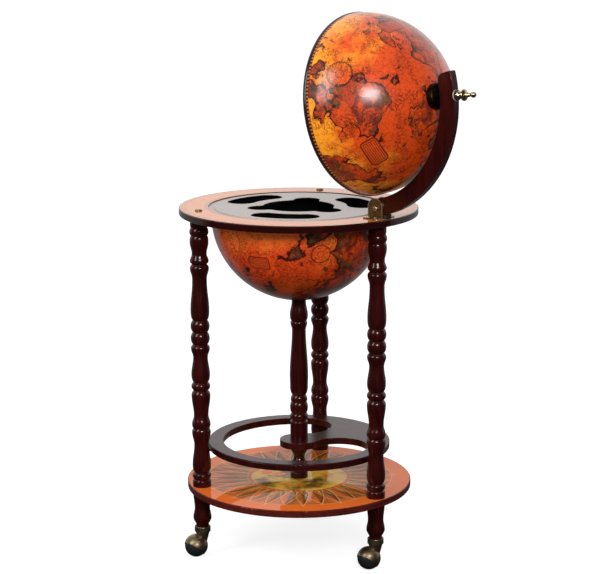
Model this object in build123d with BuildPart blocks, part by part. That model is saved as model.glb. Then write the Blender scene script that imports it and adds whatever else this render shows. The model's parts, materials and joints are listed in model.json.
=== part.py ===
from build123d import *
import os
from math import asin, atan2, cos, degrees, radians, sin, sqrt

# Floor-standing globe bar on three turned legs with ball casters. All sizes are in millimetres.
# Origin: on the floor, under the middle of the globe. +Z is up and +X points at the hinge of the lid.
# The lid and its arm are drawn shut, level on the ring, and then swung open as one.

# ---- Driving sizes: the globe, and the legs and boards set out round it ----
globe_radius = 165.0
legs_from_globe = 29.0  # from the globe's surface to the middles of the legs, level
shelf_overhang = 21.0  # past the middles of the legs
shelf_top = 140.0
shelf_thickness = 13.5
rack_leg_gap = 2.2  # between the rack's edge and the beads of the legs
rack_top = 215.7
rack_thickness = 13.0
rack_opening_inner = 37.0  # radius of the boss round the spindle
rack_rim_width = 28.0  # outside the opening
rack_tongue_direction = 68.0  # degrees from +X
rack_tongue_angle = 118.0  # degrees left solid between the two round ends of the opening
rack_opening_round = 1.0
ring_overhang = 31.0  # past the middles of the legs
ring_top = 670.0
ring_thickness = 13.5
board_edge_radius = 2.0

# ---- Bowl, tray and lid ----
bowl_wall = 3.0
bowl_fit = 0.3  # between the collar of the bowl and the hole in the ring
tray_ledge = 4.7  # width of the rebate in the ring that carries the tray
tray_wall = 1.8
tray_step = 2.0  # from the tray's flange up to its middle, which is level with the ring
tray_step_round = 1.7
tray_flange_width = 10.4
tray_fit = 0.4
tray_skirt_height = 8.0
tray_skirt_wall = 2.0
tray_rim_width = 13.2  # from the step to the three curved holes
tray_hole_width = 54.0
tray_hole_half_angle = 18.0  # degrees, to the middle of each round end
tray_web = 25.0  # between the curved holes and the round of the centre hole
tray_lobe_radius = 25.0
tray_lobe_depth = 32.0  # past the round of the centre hole
tray_lobe_fillet = 12.0
tray_edge_round = 1.0
lid_wall = 3.0
lid_short_of_half = 2.4  # the rim of the lid stops this far above its centre
lid_seat_gap = 0.6  # between the shut lid and the ring
trim_height = 7.5
trim_proud = 1.1
trim_lip_height = 6.0
trim_lip_wall = 2.4
trim_fit = 0.4

# ---- Arm, hinge and pole fittings ----
pole_gap = 14.7  # between the top of the shut lid and the arm
arm_below_lid = 3.0  # the centre of the arm's curve is this far below the lid's centre
arm_width = 31.2
arm_thickness = 16.0
arm_past_pole = 11.8  # degrees that the arm runs on past the pole
arm_end_round = 14.0
arm_end_outer_round = 2.5
arm_edge_round = 1.2
pivot_from_globe = 33.6  # from the globe's surface to the hinge pin, level
pivot_height = 17.4  # of the hinge pin above the ring
open_angle = 84.4
rock_angle = 3.4  # slack with which the lid sags on its hub when it is open
rock_depth = 0.9  # of the rocking point below the arm's inner face
pin_radius = 3.0
pin_head_radius = 5.0
pin_head_height = 3.0
pin_head_round = 2.4
bush_radius = 5.0
running_fit = 0.05
fixed_fit = 0.02
ear_thickness = 2.0
ear_width = 34.0
ear_height = 36.4
ear_set_in = 1.6  # of the ears' middle from the pin, towards the globe
ear_gap = 0.9  # from each face of the arm to the ear
washer_thickness = 0.7
washer_radius = 9.0
bracket_foot_length = 16.0
bracket_corner_round = 4.0
small_screw_radius = 1.8
small_screw_head = 3.4
small_screw_head_height = 1.6
small_screw_head_round = 1.0
small_screw_length = 11.0
small_screw_spacing = 18.0
stop_from_pin = 10.4
stop_length = 12.0
stop_gap = 0.3
hub_radius = 23.5
hub_flat_radius = 8.0
hub_shoulder_drop = 4.6
hub_shoulder_slope = 0.24  # fall at the edge of its flat top, so that it can rock clear of the arm
hub_side_lean = 0.6  # outward run for each millimetre of fall, where the shoulder meets the side
hub_neck_radius = 8.0
hub_neck_length = 8.2  # below the lid's inner face
hub_lid_gap = 0.3
hub_neck_fit = 0.15
hub_bore_top = 3.4
hub_bore_bottom = 5.2
hub_nut_radius = 16.0
hub_nut_thickness = 5.0
hub_nut_round = 1.2
hub_nut_gap = 1.4  # from the lid, at the middle
stud_radius = 3.0
stud_end_length = 1.5  # past the nut
stud_in_finial = 14.0
stud_nut_radius = 5.5
stud_nut_thickness = 5.0
stud_flange_radius = 7.8
stud_flange_thickness = 1.5
stud_nut_gap = 0.7

# ---- Finial, outwards from the arm ----
finial_washer_radius = 10.0
finial_washer_thickness = 1.5
finial_ring_radius = 9.3
finial_ring_thickness = 3.5
finial_ring_round = 1.2
finial_seat_radius = 8.0
finial_seat_height = 5.0
finial_neck_radius = 5.0
finial_bead_radius = 10.4
finial_bead_middle = 12.5
finial_bead_height = 7.0
finial_bead_slope = 0.3  # rise for each millimetre out, at the bead's two edges
finial_waist_radius = 3.0
finial_ball_radius = 5.3
finial_ball_middle = 32.5

# ---- Legs, feet and spindle ----
leg_count = 3
groove_slope = 1.2  # rise for each millimetre out, where a bead springs from a groove
leg_radii = {"base": 17.4, "cove": 15.0, "bead": 17.8, "groove": 13.8, "shallow": 15.2,
             "swell": 17.6, "neck": 13.9, "top": 16.5}
leg_turnings = [
    ("base", 10.0), ("cove", 4.0), ("bead", 8.5), ("groove", 5.0), ("swell", 14.5), ("neck", 40.0),
    ("bead", 24.0), ("shallow", 8.0), ("swell", 8.0), ("neck", 17.5), ("bead", 39.0), ("groove", 9.5),
    ("bead", 8.0), ("groove", 8.0), ("swell", 15.0), ("neck", 33.0), ("bead", 17.5), ("groove", 7.5),
    ("bead", 12.0), ("groove", 11.5), ("bead", 11.5), ("groove", 11.5), ("swell", 19.5), ("neck", 53.0),
    ("neck", 7.0), ("bead", 19.5), ("groove", 7.5), ("swell", 6.0), ("neck", 13.7), ("swell", 22.3),
    ("shallow", 12.0), ("bead", 7.0), ("shallow", 8.0), ("top", 4.0), ("top", 13.5)]
foot_radii = {"base": 11.6, "swell": 17.3, "neck": 14.6, "top": 17.0}
foot_turnings = [("base", 8.5), ("swell", 16.5), ("neck", 18.0), ("top", 30.0)]
foot_bottom = 52.0
upper_spindle_radii = {"base": 16.9, "groove": 14.4, "bead": 17.2, "fillet": 16.0, "cove": 12.8,
                       "swell": 17.6, "neck": 13.2, "top": 13.6}
upper_spindle_turnings = [
    ("base", 34.0), ("groove", 4.0), ("bead", 8.0), ("groove", 6.3), ("bead", 11.0), ("groove", 11.0),
    ("fillet", 4.0), ("cove", 9.6), ("bead", 19.0), ("swell", 20.0), ("neck", 88.0), ("fillet", 14.0),
    ("groove", 4.0), ("bead", 11.5), ("top", 25.0), ("top", 8.0)]
lower_spindle_radii = {"base": 16.9, "groove": 13.0, "swell": 14.2, "bead": 12.0, "neck": 10.4,
                       "top": 16.3}
lower_spindle_turnings = [("base", 9.0), ("groove", 4.0), ("swell", 12.0), ("bead", 8.0), ("neck", 5.0),
                          ("top", 18.0), ("top", 5.0)]

# ---- Hidden fastenings ----
bolt_radius = 3.0
bolt_head_radius = 6.0
bolt_head_height = 3.0
bolt_in_leg = 35.0
cap_radius = 7.0
cap_height = 2.6
cap_edge_round = 1.8
stud_bolt_radius = 4.0
stud_bolt_in_wood = 25.0
dowel_radius = 3.0
dowel_in_rack = 18.0
dowel_in_leg = 12.0
rack_peg_radius = 5.0
rack_peg_in_wood = 22.0
spindle_screw_length = 40.0
spindle_screw_radius = 1.9
spindle_screw_head_radius = 5.0
spindle_screw_head_height = 2.6
spindle_screw_head_round = 1.2
spindle_blank_extra = 2.0  # left on the spindle's top, which is then cut to the curve of the bowl
washer_in_bowl_radius = 11.0
washer_in_bowl_thickness = 1.5

# ---- Casters ----
wheel_radius = 21.5
wheel_inner_radius = 20.2  # where the hood covers it
wheel_back = -6.0  # flat back of the wheel, along its axle from the middle of the ball
hood_radius = 22.5
hood_inner_radius = 20.6
hood_rim = 7.5  # plane of the hood's rim, along the axle from the middle of the ball
hood_back = -8.0
hood_rim_gap = 0.4
axle_radius = 2.5
axle_tip = 11.8
axle_end_gap = 0.4
axle_root = -17.0
axle_tilt = 48.0  # degrees below level
axle_heading = -90.5  # degrees from +X, seen from above
caster_offset = (-7.0, -11.0)  # middle of the ball from the swivel axis
cup_radius = 15.2
cup_wall = 3.0
cup_floor = 2.0
cup_depth = 8.5
cup_lip_round = 1.3
sleeve_radius = 5.6
sleeve_length = 26.0
stem_radius = 4.0
stem_foot = 41.0
stem_top_gap = 1.0
stem_chamfer = 1.0
swivel_gap = 0.4
neck_top_radius = 13.5
neck_bottom_radius = 8.0
neck_bottom = 28.0

# ---- For cuts and for telling edges apart ----
cut_past = 1.0  # how far a cut runs on past what it cuts
same_size = 1e-6

# ---- Levels and places worked out from the sizes above ----
shelf_bottom = shelf_top - shelf_thickness
rack_bottom = rack_top - rack_thickness
ring_bottom = ring_top - ring_thickness
ring_hole = globe_radius + bowl_fit
leg_circle = globe_radius + legs_from_globe
leg_face = leg_circle - leg_radii["bead"]
shelf_radius = leg_circle + shelf_overhang
ring_radius = leg_circle + ring_overhang
rack_radius = leg_face - rack_leg_gap
rack_opening_outer = rack_radius - rack_rim_width
ledge_radius = ring_hole + tray_ledge
tray_radius = ledge_radius - tray_fit
tray_middle_radius = tray_radius - tray_flange_width
tray_hole_outer = tray_middle_radius - tray_rim_width
tray_hole_inner = tray_hole_outer - tray_hole_width
tray_centre_radius = tray_hole_inner - tray_web
tray_lobe_reach = tray_centre_radius + tray_lobe_depth
pivot_x = globe_radius + pivot_from_globe
ear_middle_x = pivot_x - ear_set_in
bowl_centre = ring_bottom
bowl_floor = bowl_centre - globe_radius
tray_flange_top = ring_top - tray_step
tray_bottom = tray_flange_top - tray_wall
lid_centre = ring_top + lid_seat_gap - lid_short_of_half
arm_centre = lid_centre - arm_below_lid
arm_inner = globe_radius + arm_below_lid + pole_gap
arm_outer = arm_inner + arm_width
pivot_z = ring_top + pivot_height
rock_z = arm_centre + arm_inner - rock_depth
ear_inner = arm_thickness / 2 + ear_gap
ear_outer = ear_inner + ear_thickness
hinge_axis = Axis((pivot_x, 0, pivot_z), (0, 1, 0))
rock_axis = Axis((0, 0, rock_z), (0, 1, 0))
leg_places = list(PolarLocations(leg_circle, leg_count))
capped_places = leg_places[1:]  # the hinge hides the bolt of the first leg

os.makedirs("parts", exist_ok=True)


def save(part, name):
    """Labels a finished piece and writes its STEP file."""
    part.label = name
    export_step(part, f"parts/{name}.step")


def opened(part):
    """A piece of the arm, swung from shut to open."""
    return part.rotate(hinge_axis, open_angle)


def sagged(part):
    """A piece that rocks with the lid: tipped by its slack, then swung open."""
    return opened(part.rotate(rock_axis, -rock_angle))


def turned(bottom, length, turnings, radii):
    """Turned post between two levels. Each turning is how it ends and its height, from the bottom up.

    Swells and necks run into each other smoothly and share what the length leaves over.
    Grooves and coves are sharp, and two turnings alike make a plain stretch.
    """
    long_ones = [kind in ("swell", "neck") for kind, _ in turnings]
    share = (length - sum(height for _, height in turnings)) / sum(long_ones)
    radius, level = radii[turnings[0][0]], bottom
    sharp = False
    with BuildPart() as post:
        with BuildSketch(Plane.XZ):
            with BuildLine():
                Line((0, bottom), (radius, bottom))
                for (kind, height), is_long in zip(turnings, long_ones):
                    new_radius = radii[kind]
                    new_level = level + height + (share if is_long else 0)
                    new_sharp = kind in ("groove", "shallow", "cove")
                    ends = ((radius, level), (new_radius, new_level))
                    if abs(new_radius - radius) < same_size:
                        Line(*ends)
                    else:
                        leave = (1, groove_slope) if sharp and new_radius > radius else (0, 1)
                        arrive = (-1, groove_slope) if new_sharp and new_radius < radius else (0, 1)
                        Spline(*ends, tangents=(leave, arrive))
                    radius, level, sharp = new_radius, new_level, new_sharp
                Line((radius, bottom + length), (0, bottom + length))
                Line((0, bottom + length), (0, bottom))
            make_face()
        revolve(axis=Axis.Z)
    return post.part


def upright_hole(radius, from_z, to_z):
    """Round hole on the Z axis of the part in hand."""
    with Locations((0, 0, from_z)):
        Cylinder(radius, to_z - from_z, align=(Align.CENTER, Align.CENTER, Align.MIN), mode=Mode.SUBTRACT)


def upright_rod(radius, from_z, to_z):
    """Round rod on the Z axis of the part in hand."""
    with Locations((0, 0, from_z)):
        Cylinder(radius, to_z - from_z, align=(Align.CENTER, Align.CENTER, Align.MIN))


def round_outer_edges(part, radius, edge_round):
    """Rounds the rim of a board of this radius."""
    rims = [e for e in part.edges().filter_by(GeomType.CIRCLE) if abs(e.radius - radius) < same_size]
    fillet(rims, edge_round)


# ---- Ring table and what it carries ----
with BuildPart() as ring_table:
    with BuildSketch(Plane.XY.offset(ring_bottom)):
        Circle(ring_radius)
        Circle(ring_hole, mode=Mode.SUBTRACT)
    extrude(amount=ring_thickness)
    round_outer_edges(ring_table, ring_radius, board_edge_radius)
    with BuildSketch(Plane.XY.offset(tray_bottom)):
        Circle(ledge_radius)
    extrude(amount=ring_top - tray_bottom, mode=Mode.SUBTRACT)
    with Locations(Plane.XY.offset(ring_top)):
        with PolarLocations(leg_circle, leg_count):
            Hole(bolt_radius + fixed_fit, ring_thickness)
            Cone(bolt_radius + fixed_fit, bolt_head_radius + fixed_fit, bolt_head_height,
                 align=(Align.CENTER, Align.CENTER, Align.MAX), mode=Mode.SUBTRACT)
    screw_y = ear_outer + bracket_foot_length / 2
    with Locations(Plane.XY.offset(ring_top)):
        with Locations((ear_middle_x, screw_y), (ear_middle_x, -screw_y)):
            with GridLocations(small_screw_spacing, 1, 2, 1):
                Hole(small_screw_radius + fixed_fit, small_screw_length)
save(ring_table.part, "ring_table")

with BuildPart() as ring_bolts:
    with Locations(Plane.XY.offset(ring_top)):
        with PolarLocations(leg_circle, leg_count):
            Cone(bolt_radius, bolt_head_radius, bolt_head_height,
                 align=(Align.CENTER, Align.CENTER, Align.MAX))
            Cylinder(bolt_radius, ring_thickness + bolt_in_leg,
                     align=(Align.CENTER, Align.CENTER, Align.MAX))
save(ring_bolts.part, "ring_bolts")

with BuildPart() as bolt_caps:
    with BuildSketch(Plane.XY.offset(ring_top)):
        with Locations(*capped_places):
            Circle(cap_radius)
    extrude(amount=cap_height)
    fillet(bolt_caps.faces().filter_by(Axis.Z).group_by(Axis.Z)[-1].edges(), cap_edge_round)
save(bolt_caps.part, "bolt_caps")

with BuildPart() as bowl_shell:
    with BuildSketch(Plane.XZ):
        with BuildLine():
            inner = globe_radius - bowl_wall
            CenterArc((0, bowl_centre), globe_radius, -90, 90)
            Line((globe_radius, bowl_centre), (globe_radius, tray_bottom))
            Line((globe_radius, tray_bottom), (inner, tray_bottom))
            Line((inner, tray_bottom), (inner, bowl_centre))
            CenterArc((0, bowl_centre), inner, -90, 90)
            Line((0, bowl_centre - inner), (0, bowl_centre - globe_radius))
        make_face()
    revolve(axis=Axis.Z)
    upright_hole(spindle_screw_radius + fixed_fit, bowl_floor - cut_past, bowl_floor + bowl_wall + cut_past)
save(bowl_shell.part, "bowl_shell")

with BuildPart() as tray_insert:
    with BuildSketch(Plane.XY.offset(ring_top - tray_wall)):
        Circle(tray_middle_radius)
        with BuildSketch(Plane.XY, mode=Mode.PRIVATE) as centre_hole:
            Circle(tray_centre_radius)
            with PolarLocations(tray_lobe_reach - tray_lobe_radius, leg_count):
                Circle(tray_lobe_radius)
            inner_corners = [v for v in centre_hole.vertices() if v.center().length < tray_lobe_reach]
            fillet(inner_corners, tray_lobe_fillet)
        add(centre_hole.sketch, mode=Mode.SUBTRACT)
        middle = (tray_hole_inner + tray_hole_outer) / 2
        for hole_number in range(leg_count):
            direction = (hole_number + 0.5) * 360 / leg_count
            SlotArc(CenterArc((0, 0), middle, direction - tray_hole_half_angle, 2 * tray_hole_half_angle,
                              mode=Mode.PRIVATE),
                    tray_hole_outer - tray_hole_inner, mode=Mode.SUBTRACT)
    extrude(amount=tray_wall)
    top = tray_insert.faces().sort_by(Axis.Z)[-1]
    step_edge = top.outer_wire().edges()
    fillet([e for wire in top.inner_wires() for e in wire.edges()], tray_edge_round)
    fillet(step_edge, tray_step_round)
    with BuildSketch(Plane.XY.offset(tray_bottom)):
        Circle(tray_radius)
        Circle(tray_middle_radius - tray_wall, mode=Mode.SUBTRACT)
    extrude(amount=tray_wall)
    with BuildSketch(Plane.XY.offset(tray_bottom)):
        Circle(tray_middle_radius)
        Circle(tray_middle_radius - tray_wall, mode=Mode.SUBTRACT)
    extrude(amount=tray_step)
    with BuildSketch(Plane.XY.offset(tray_bottom - tray_skirt_height)):
        Circle(globe_radius - bowl_wall - tray_fit)
        Circle(globe_radius - bowl_wall - tray_fit - tray_skirt_wall, mode=Mode.SUBTRACT)
    extrude(amount=tray_skirt_height)
save(tray_insert.part, "tray_insert")

# ---- Shelf and bottle rack ----
with BuildPart() as shelf:
    with BuildSketch(Plane.XY.offset(shelf_bottom)):
        Circle(shelf_radius)
        with PolarLocations(leg_circle, leg_count):
            Circle(stud_bolt_radius + fixed_fit, mode=Mode.SUBTRACT)
        Circle(spindle_screw_radius + fixed_fit, mode=Mode.SUBTRACT)
    extrude(amount=shelf_thickness)
    round_outer_edges(shelf, shelf_radius, board_edge_radius)
save(shelf.part, "shelf")

rack_middle = (rack_opening_inner + rack_opening_outer) / 2
rack_dowel_z = (rack_top + rack_bottom) / 2
with BuildPart() as bottle_rack:
    with BuildSketch(Plane.XY.offset(rack_bottom)):
        Circle(rack_radius)
        opening_start = rack_tongue_direction + rack_tongue_angle / 2
        SlotArc(CenterArc((0, 0), rack_middle, opening_start, 360 - rack_tongue_angle, mode=Mode.PRIVATE),
                rack_opening_outer - rack_opening_inner, mode=Mode.SUBTRACT)
    extrude(amount=rack_thickness)
    round_outer_edges(bottle_rack, rack_radius, board_edge_radius)
    opening_rims = [e for face in bottle_rack.faces().filter_by(Axis.Z)
                    for e in face.inner_wires()[0].edges()]
    fillet(opening_rims, rack_opening_round)
    upright_hole(rack_peg_radius + fixed_fit, rack_bottom, rack_top)
    with Locations((0, 0, rack_dowel_z)):
        with PolarLocations(rack_radius + dowel_radius, leg_count):
            Cylinder(dowel_radius + fixed_fit, dowel_in_rack + dowel_radius, rotation=(0, 90, 0),
                     align=(Align.CENTER, Align.CENTER, Align.MAX), mode=Mode.SUBTRACT)
save(bottle_rack.part, "bottle_rack")

dowel_end = leg_face + dowel_in_leg
with BuildPart() as rack_dowels:
    with Locations((0, 0, rack_dowel_z)):
        with PolarLocations(rack_radius - dowel_in_rack, leg_count):
            Cylinder(dowel_radius, dowel_end - rack_radius + dowel_in_rack, rotation=(0, 90, 0),
                     align=(Align.CENTER, Align.CENTER, Align.MIN))
save(rack_dowels.part, "rack_dowels")

# ---- Legs and feet, each turned from one piece ----
with BuildPart() as leg:
    add(turned(shelf_top, ring_bottom - shelf_top, leg_turnings, leg_radii))
    upright_hole(bolt_radius + fixed_fit, ring_bottom - bolt_in_leg - cut_past, ring_bottom)
    upright_hole(stud_bolt_radius + fixed_fit, shelf_top, shelf_top + stud_bolt_in_wood)
    with Locations((dowel_end - leg_circle, 0, rack_dowel_z)):
        Cylinder(dowel_radius + fixed_fit, leg_radii["swell"] * 2, rotation=(0, 90, 0),
                 align=(Align.CENTER, Align.CENTER, Align.MAX), mode=Mode.SUBTRACT)

with BuildPart() as foot:
    add(turned(foot_bottom, shelf_bottom - foot_bottom, foot_turnings, foot_radii))
    upright_hole(stud_bolt_radius + fixed_fit, shelf_bottom - stud_bolt_in_wood, shelf_bottom)
    upright_hole(sleeve_radius + fixed_fit, foot_bottom, foot_bottom + sleeve_length)

with BuildPart() as shelf_studs:
    with Locations(Plane.XY.offset(shelf_bottom - stud_bolt_in_wood)):
        with PolarLocations(leg_circle, leg_count):
            Cylinder(stud_bolt_radius, shelf_thickness + 2 * stud_bolt_in_wood,
                     align=(Align.CENTER, Align.CENTER, Align.MIN))
save(shelf_studs.part, "shelf_studs")

for number, place in enumerate(leg_places, 1):
    save(leg.part.moved(place), f"leg_{number}")
    save(foot.part.moved(place), f"foot_{number}")

# ---- Middle spindle: bowl to rack, and rack to shelf ----
with BuildPart() as spindle_upper:
    add(turned(rack_top, bowl_floor - rack_top + spindle_blank_extra, upper_spindle_turnings,
               upper_spindle_radii))
    with Locations((0, 0, bowl_centre)):
        Sphere(globe_radius, mode=Mode.SUBTRACT)
    upright_hole(spindle_screw_radius + fixed_fit, bowl_floor - spindle_screw_length,
                 bowl_floor + bowl_wall)
    upright_hole(rack_peg_radius + fixed_fit, rack_top, rack_top + rack_peg_in_wood)
save(spindle_upper.part, "spindle_upper")

with BuildPart() as spindle_lower:
    add(turned(shelf_top, rack_bottom - shelf_top, lower_spindle_turnings, lower_spindle_radii))
    upright_hole(rack_peg_radius + fixed_fit, rack_bottom - rack_peg_in_wood, rack_bottom)
    upright_hole(spindle_screw_radius + fixed_fit, shelf_top, shelf_bottom + spindle_screw_length)
save(spindle_lower.part, "spindle_lower")

with BuildPart() as rack_peg:
    upright_rod(rack_peg_radius, rack_bottom - rack_peg_in_wood, rack_top + rack_peg_in_wood)
save(rack_peg.part, "rack_peg")

bowl_screw_seat = bowl_floor + bowl_wall + washer_in_bowl_thickness
with BuildPart() as bowl_screw:
    upright_rod(spindle_screw_radius, bowl_floor - spindle_screw_length, bowl_screw_seat)
    upright_rod(spindle_screw_head_radius, bowl_screw_seat, bowl_screw_seat + spindle_screw_head_height)
    fillet(bowl_screw.faces().sort_by(Axis.Z)[-1].edges(), spindle_screw_head_round)
save(bowl_screw.part, "bowl_screw")

with BuildPart() as bowl_washer:
    with Locations((0, 0, bowl_centre)):
        Sphere(globe_radius - bowl_wall)
    split(bisect_by=Plane.XY.offset(bowl_screw_seat), keep=Keep.BOTTOM)
    upright_hole(spindle_screw_radius + fixed_fit, bowl_floor, bowl_screw_seat)
    with BuildSketch(Plane.XY.offset(bowl_floor)):
        Circle(washer_in_bowl_radius)
    extrude(amount=bowl_screw_seat - bowl_floor, mode=Mode.INTERSECT)
save(bowl_washer.part, "bowl_washer")

with BuildPart() as shelf_screw:
    upright_rod(spindle_screw_radius, shelf_bottom, shelf_bottom + spindle_screw_length)
    upright_rod(spindle_screw_head_radius, shelf_bottom - spindle_screw_head_height, shelf_bottom)
    fillet(shelf_screw.faces().sort_by(Axis.Z)[0].edges(), spindle_screw_head_round)
save(shelf_screw.part, "shelf_screw")

# ---- Hinge on the ring ----
ear_round = ear_width / 2


def bracket(side):
    """Angle bracket on one side of the arm: a round-topped ear and a foot that turns outwards."""
    with BuildPart() as piece:
        with BuildSketch(Plane.XZ.offset(-side * ear_inner)):
            with Locations((ear_middle_x, ring_top)):
                Rectangle(ear_width, ear_height - ear_round, align=(Align.CENTER, Align.MIN))
            with Locations((ear_middle_x, ring_top + ear_height - ear_round)):
                Circle(ear_round)
            with Locations((pivot_x, pivot_z)):
                Circle(pin_radius + fixed_fit, mode=Mode.SUBTRACT)
        extrude(amount=-side * ear_thickness)
        with BuildSketch(Plane.XY.offset(ring_top)):
            with Locations((ear_middle_x, side * (ear_inner + (ear_thickness + bracket_foot_length) / 2))):
                Rectangle(ear_width, ear_thickness + bracket_foot_length)
        extrude(amount=ear_thickness)
        far_corners = piece.edges().filter_by(Axis.Z).group_by(Axis.Y)[-1 if side > 0 else 0]
        fillet(far_corners, bracket_corner_round)
        with Locations(Plane.XY.offset(ring_top + ear_thickness)):
            with Locations((ear_middle_x, side * screw_y)):
                with GridLocations(small_screw_spacing, 1, 2, 1):
                    Hole(small_screw_radius + fixed_fit, ear_thickness)
    return piece.part


save(bracket(-1), "hinge_bracket_near")
save(bracket(1), "hinge_bracket_far")

with BuildPart() as hinge_screws:
    with Locations(Plane.XY.offset(ring_top + ear_thickness)):
        with Locations((ear_middle_x, screw_y), (ear_middle_x, -screw_y)):
            with GridLocations(small_screw_spacing, 1, 2, 1):
                Cylinder(small_screw_radius, small_screw_length,
                         align=(Align.CENTER, Align.CENTER, Align.MAX))
                Cylinder(small_screw_head, small_screw_head_height,
                         align=(Align.CENTER, Align.CENTER, Align.MIN))
    fillet(hinge_screws.faces().filter_by(Axis.Z).group_by(Axis.Z)[-1].edges(), small_screw_head_round)
save(hinge_screws.part, "hinge_screws")

with BuildPart(Plane(origin=(pivot_x, 0, pivot_z), z_dir=(0, 1, 0))) as hinge_pin:
    Cylinder(pin_radius, 2 * ear_outer)
    for end in (-1, 1):
        with Locations((0, 0, end * (ear_outer + pin_head_height / 2))):
            Cylinder(pin_head_radius, pin_head_height)
    fillet(hinge_pin.faces().sort_by(Axis.Y)[0].edges(), pin_head_round)
    fillet(hinge_pin.faces().sort_by(Axis.Y)[-1].edges(), pin_head_round)
save(hinge_pin.part, "hinge_pin")

washer_middle = ear_inner - washer_thickness / 2
with BuildPart(Plane(origin=(pivot_x, 0, pivot_z), z_dir=(0, 1, 0))) as hinge_washers:
    with Locations((0, 0, washer_middle), (0, 0, -washer_middle)):
        Cylinder(washer_radius, washer_thickness)
    Cylinder(pin_radius + running_fit, 2 * ear_inner, mode=Mode.SUBTRACT)
save(hinge_washers.part, "hinge_washers")

heel_angle = degrees(atan2(pivot_z - arm_centre, pivot_x))
end_angle = 90 + arm_past_pole
arm_middle = (arm_inner + arm_outer) / 2
heel_centre = (arm_middle * cos(radians(heel_angle)), arm_centre + arm_middle * sin(radians(heel_angle)))
with BuildPart() as arm:
    with BuildSketch(Plane.XZ.offset(-arm_thickness / 2)) as arm_side:
        with BuildLine():
            outer_arc = CenterArc((0, arm_centre), arm_outer, heel_angle, end_angle - heel_angle)
            inner_arc = CenterArc((0, arm_centre), arm_inner, heel_angle, end_angle - heel_angle)
            Line(outer_arc @ 0, inner_arc @ 0)
            Line(outer_arc @ 1, inner_arc @ 1)
        make_face()
        outer_tip, inner_tip = arm_side.vertices().sort_by(Axis.X)[:2]
        fillet(outer_tip, arm_end_outer_round)
        inner_tip = arm_side.vertices().sort_by_distance((inner_arc @ 1))[0]
        fillet(inner_tip, arm_end_round)
        with Locations(heel_centre):
            Circle(arm_width / 2)
    extrude(amount=arm_thickness)
    for side in (0, -1):
        fillet(arm.faces().filter_by(Axis.Y).sort_by(Axis.Y)[side].outer_wire().edges(), arm_edge_round)
    with BuildSketch(Plane.XZ.offset(-arm_thickness / 2)):
        with Locations((pivot_x, pivot_z)):
            Circle(bush_radius + fixed_fit)
    extrude(amount=arm_thickness, mode=Mode.SUBTRACT)
    upright_hole(stud_radius + fixed_fit, arm_centre + arm_inner - cut_past,
                 arm_centre + arm_outer + cut_past)
save(opened(arm.part), "arm")

with BuildPart() as arm_bushing:
    with BuildSketch(Plane.XZ.offset(-arm_thickness / 2)):
        with Locations((pivot_x, pivot_z)):
            Circle(bush_radius)
            Circle(pin_radius + running_fit, mode=Mode.SUBTRACT)
    extrude(amount=arm_thickness)
save(opened(arm_bushing.part), "arm_bushing")

swing = radians(open_angle)
open_arm_centre = (
    pivot_x - pivot_x * cos(swing) + (arm_centre - pivot_z) * sin(swing),
    pivot_z + pivot_x * sin(swing) + (arm_centre - pivot_z) * cos(swing))
with BuildPart() as stop_block:
    with BuildSketch(Plane.XZ.offset(-arm_thickness / 2)):
        with Locations((pivot_x + stop_from_pin, ring_top)):
            Rectangle(stop_length, arm_width, align=(Align.MIN, Align.MIN))
        with Locations(open_arm_centre):
            Circle(arm_outer + stop_gap, mode=Mode.SUBTRACT)
    extrude(amount=arm_thickness)
    fillet(stop_block.edges().filter_by(Axis.Z), board_edge_radius)
save(stop_block.part, "stop_block")

# ---- Lid, drawn shut and level ----
lid_pole_inner = lid_centre + globe_radius - lid_wall
neck_bottom_z = lid_pole_inner - hub_neck_length
trim_top = lid_short_of_half + trim_height  # above the lid's centre
with BuildPart() as lid_shell:
    with BuildSketch(Plane.XZ):
        with BuildLine():
            inner = globe_radius - lid_wall
            outer_start = degrees(asin(trim_top / globe_radius))
            inner_start = degrees(asin(trim_top / inner))
            outer_arc = CenterArc((0, lid_centre), globe_radius, outer_start, 90 - outer_start)
            inner_arc = CenterArc((0, lid_centre), inner, inner_start, 90 - inner_start)
            Line(outer_arc @ 0, inner_arc @ 0)
            Line(outer_arc @ 1, inner_arc @ 1)
        make_face()
    revolve(axis=Axis.Z)
    upright_hole(hub_neck_radius + hub_neck_fit, lid_pole_inner - cut_past,
                 lid_pole_inner + lid_wall + cut_past)
save(sagged(lid_shell.part), "lid_shell")

lip_top = trim_top + trim_lip_height
lip_outer = sqrt((globe_radius - lid_wall) ** 2 - lip_top**2) - trim_fit
with BuildPart() as lid_rim_trim:
    with BuildSketch(Plane.XZ):
        with BuildLine():
            band_inner = lip_outer - trim_lip_wall
            band_bottom = lid_centre + lid_short_of_half
            band_top = lid_centre + trim_top
            Line((band_inner, band_bottom), (globe_radius, band_bottom))
            ThreePointArc((globe_radius, band_bottom),
                          (globe_radius + trim_proud, (band_bottom + band_top) / 2),
                          (globe_radius, band_top))
            Line((globe_radius, band_top), (lip_outer, band_top))
            Line((lip_outer, band_top), (lip_outer, lid_centre + lip_top))
            Line((lip_outer, lid_centre + lip_top), (band_inner, lid_centre + lip_top))
            Line((band_inner, lid_centre + lip_top), (band_inner, band_bottom))
        make_face()
    revolve(axis=Axis.Z)
save(sagged(lid_rim_trim.part), "lid_rim_trim")

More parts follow.
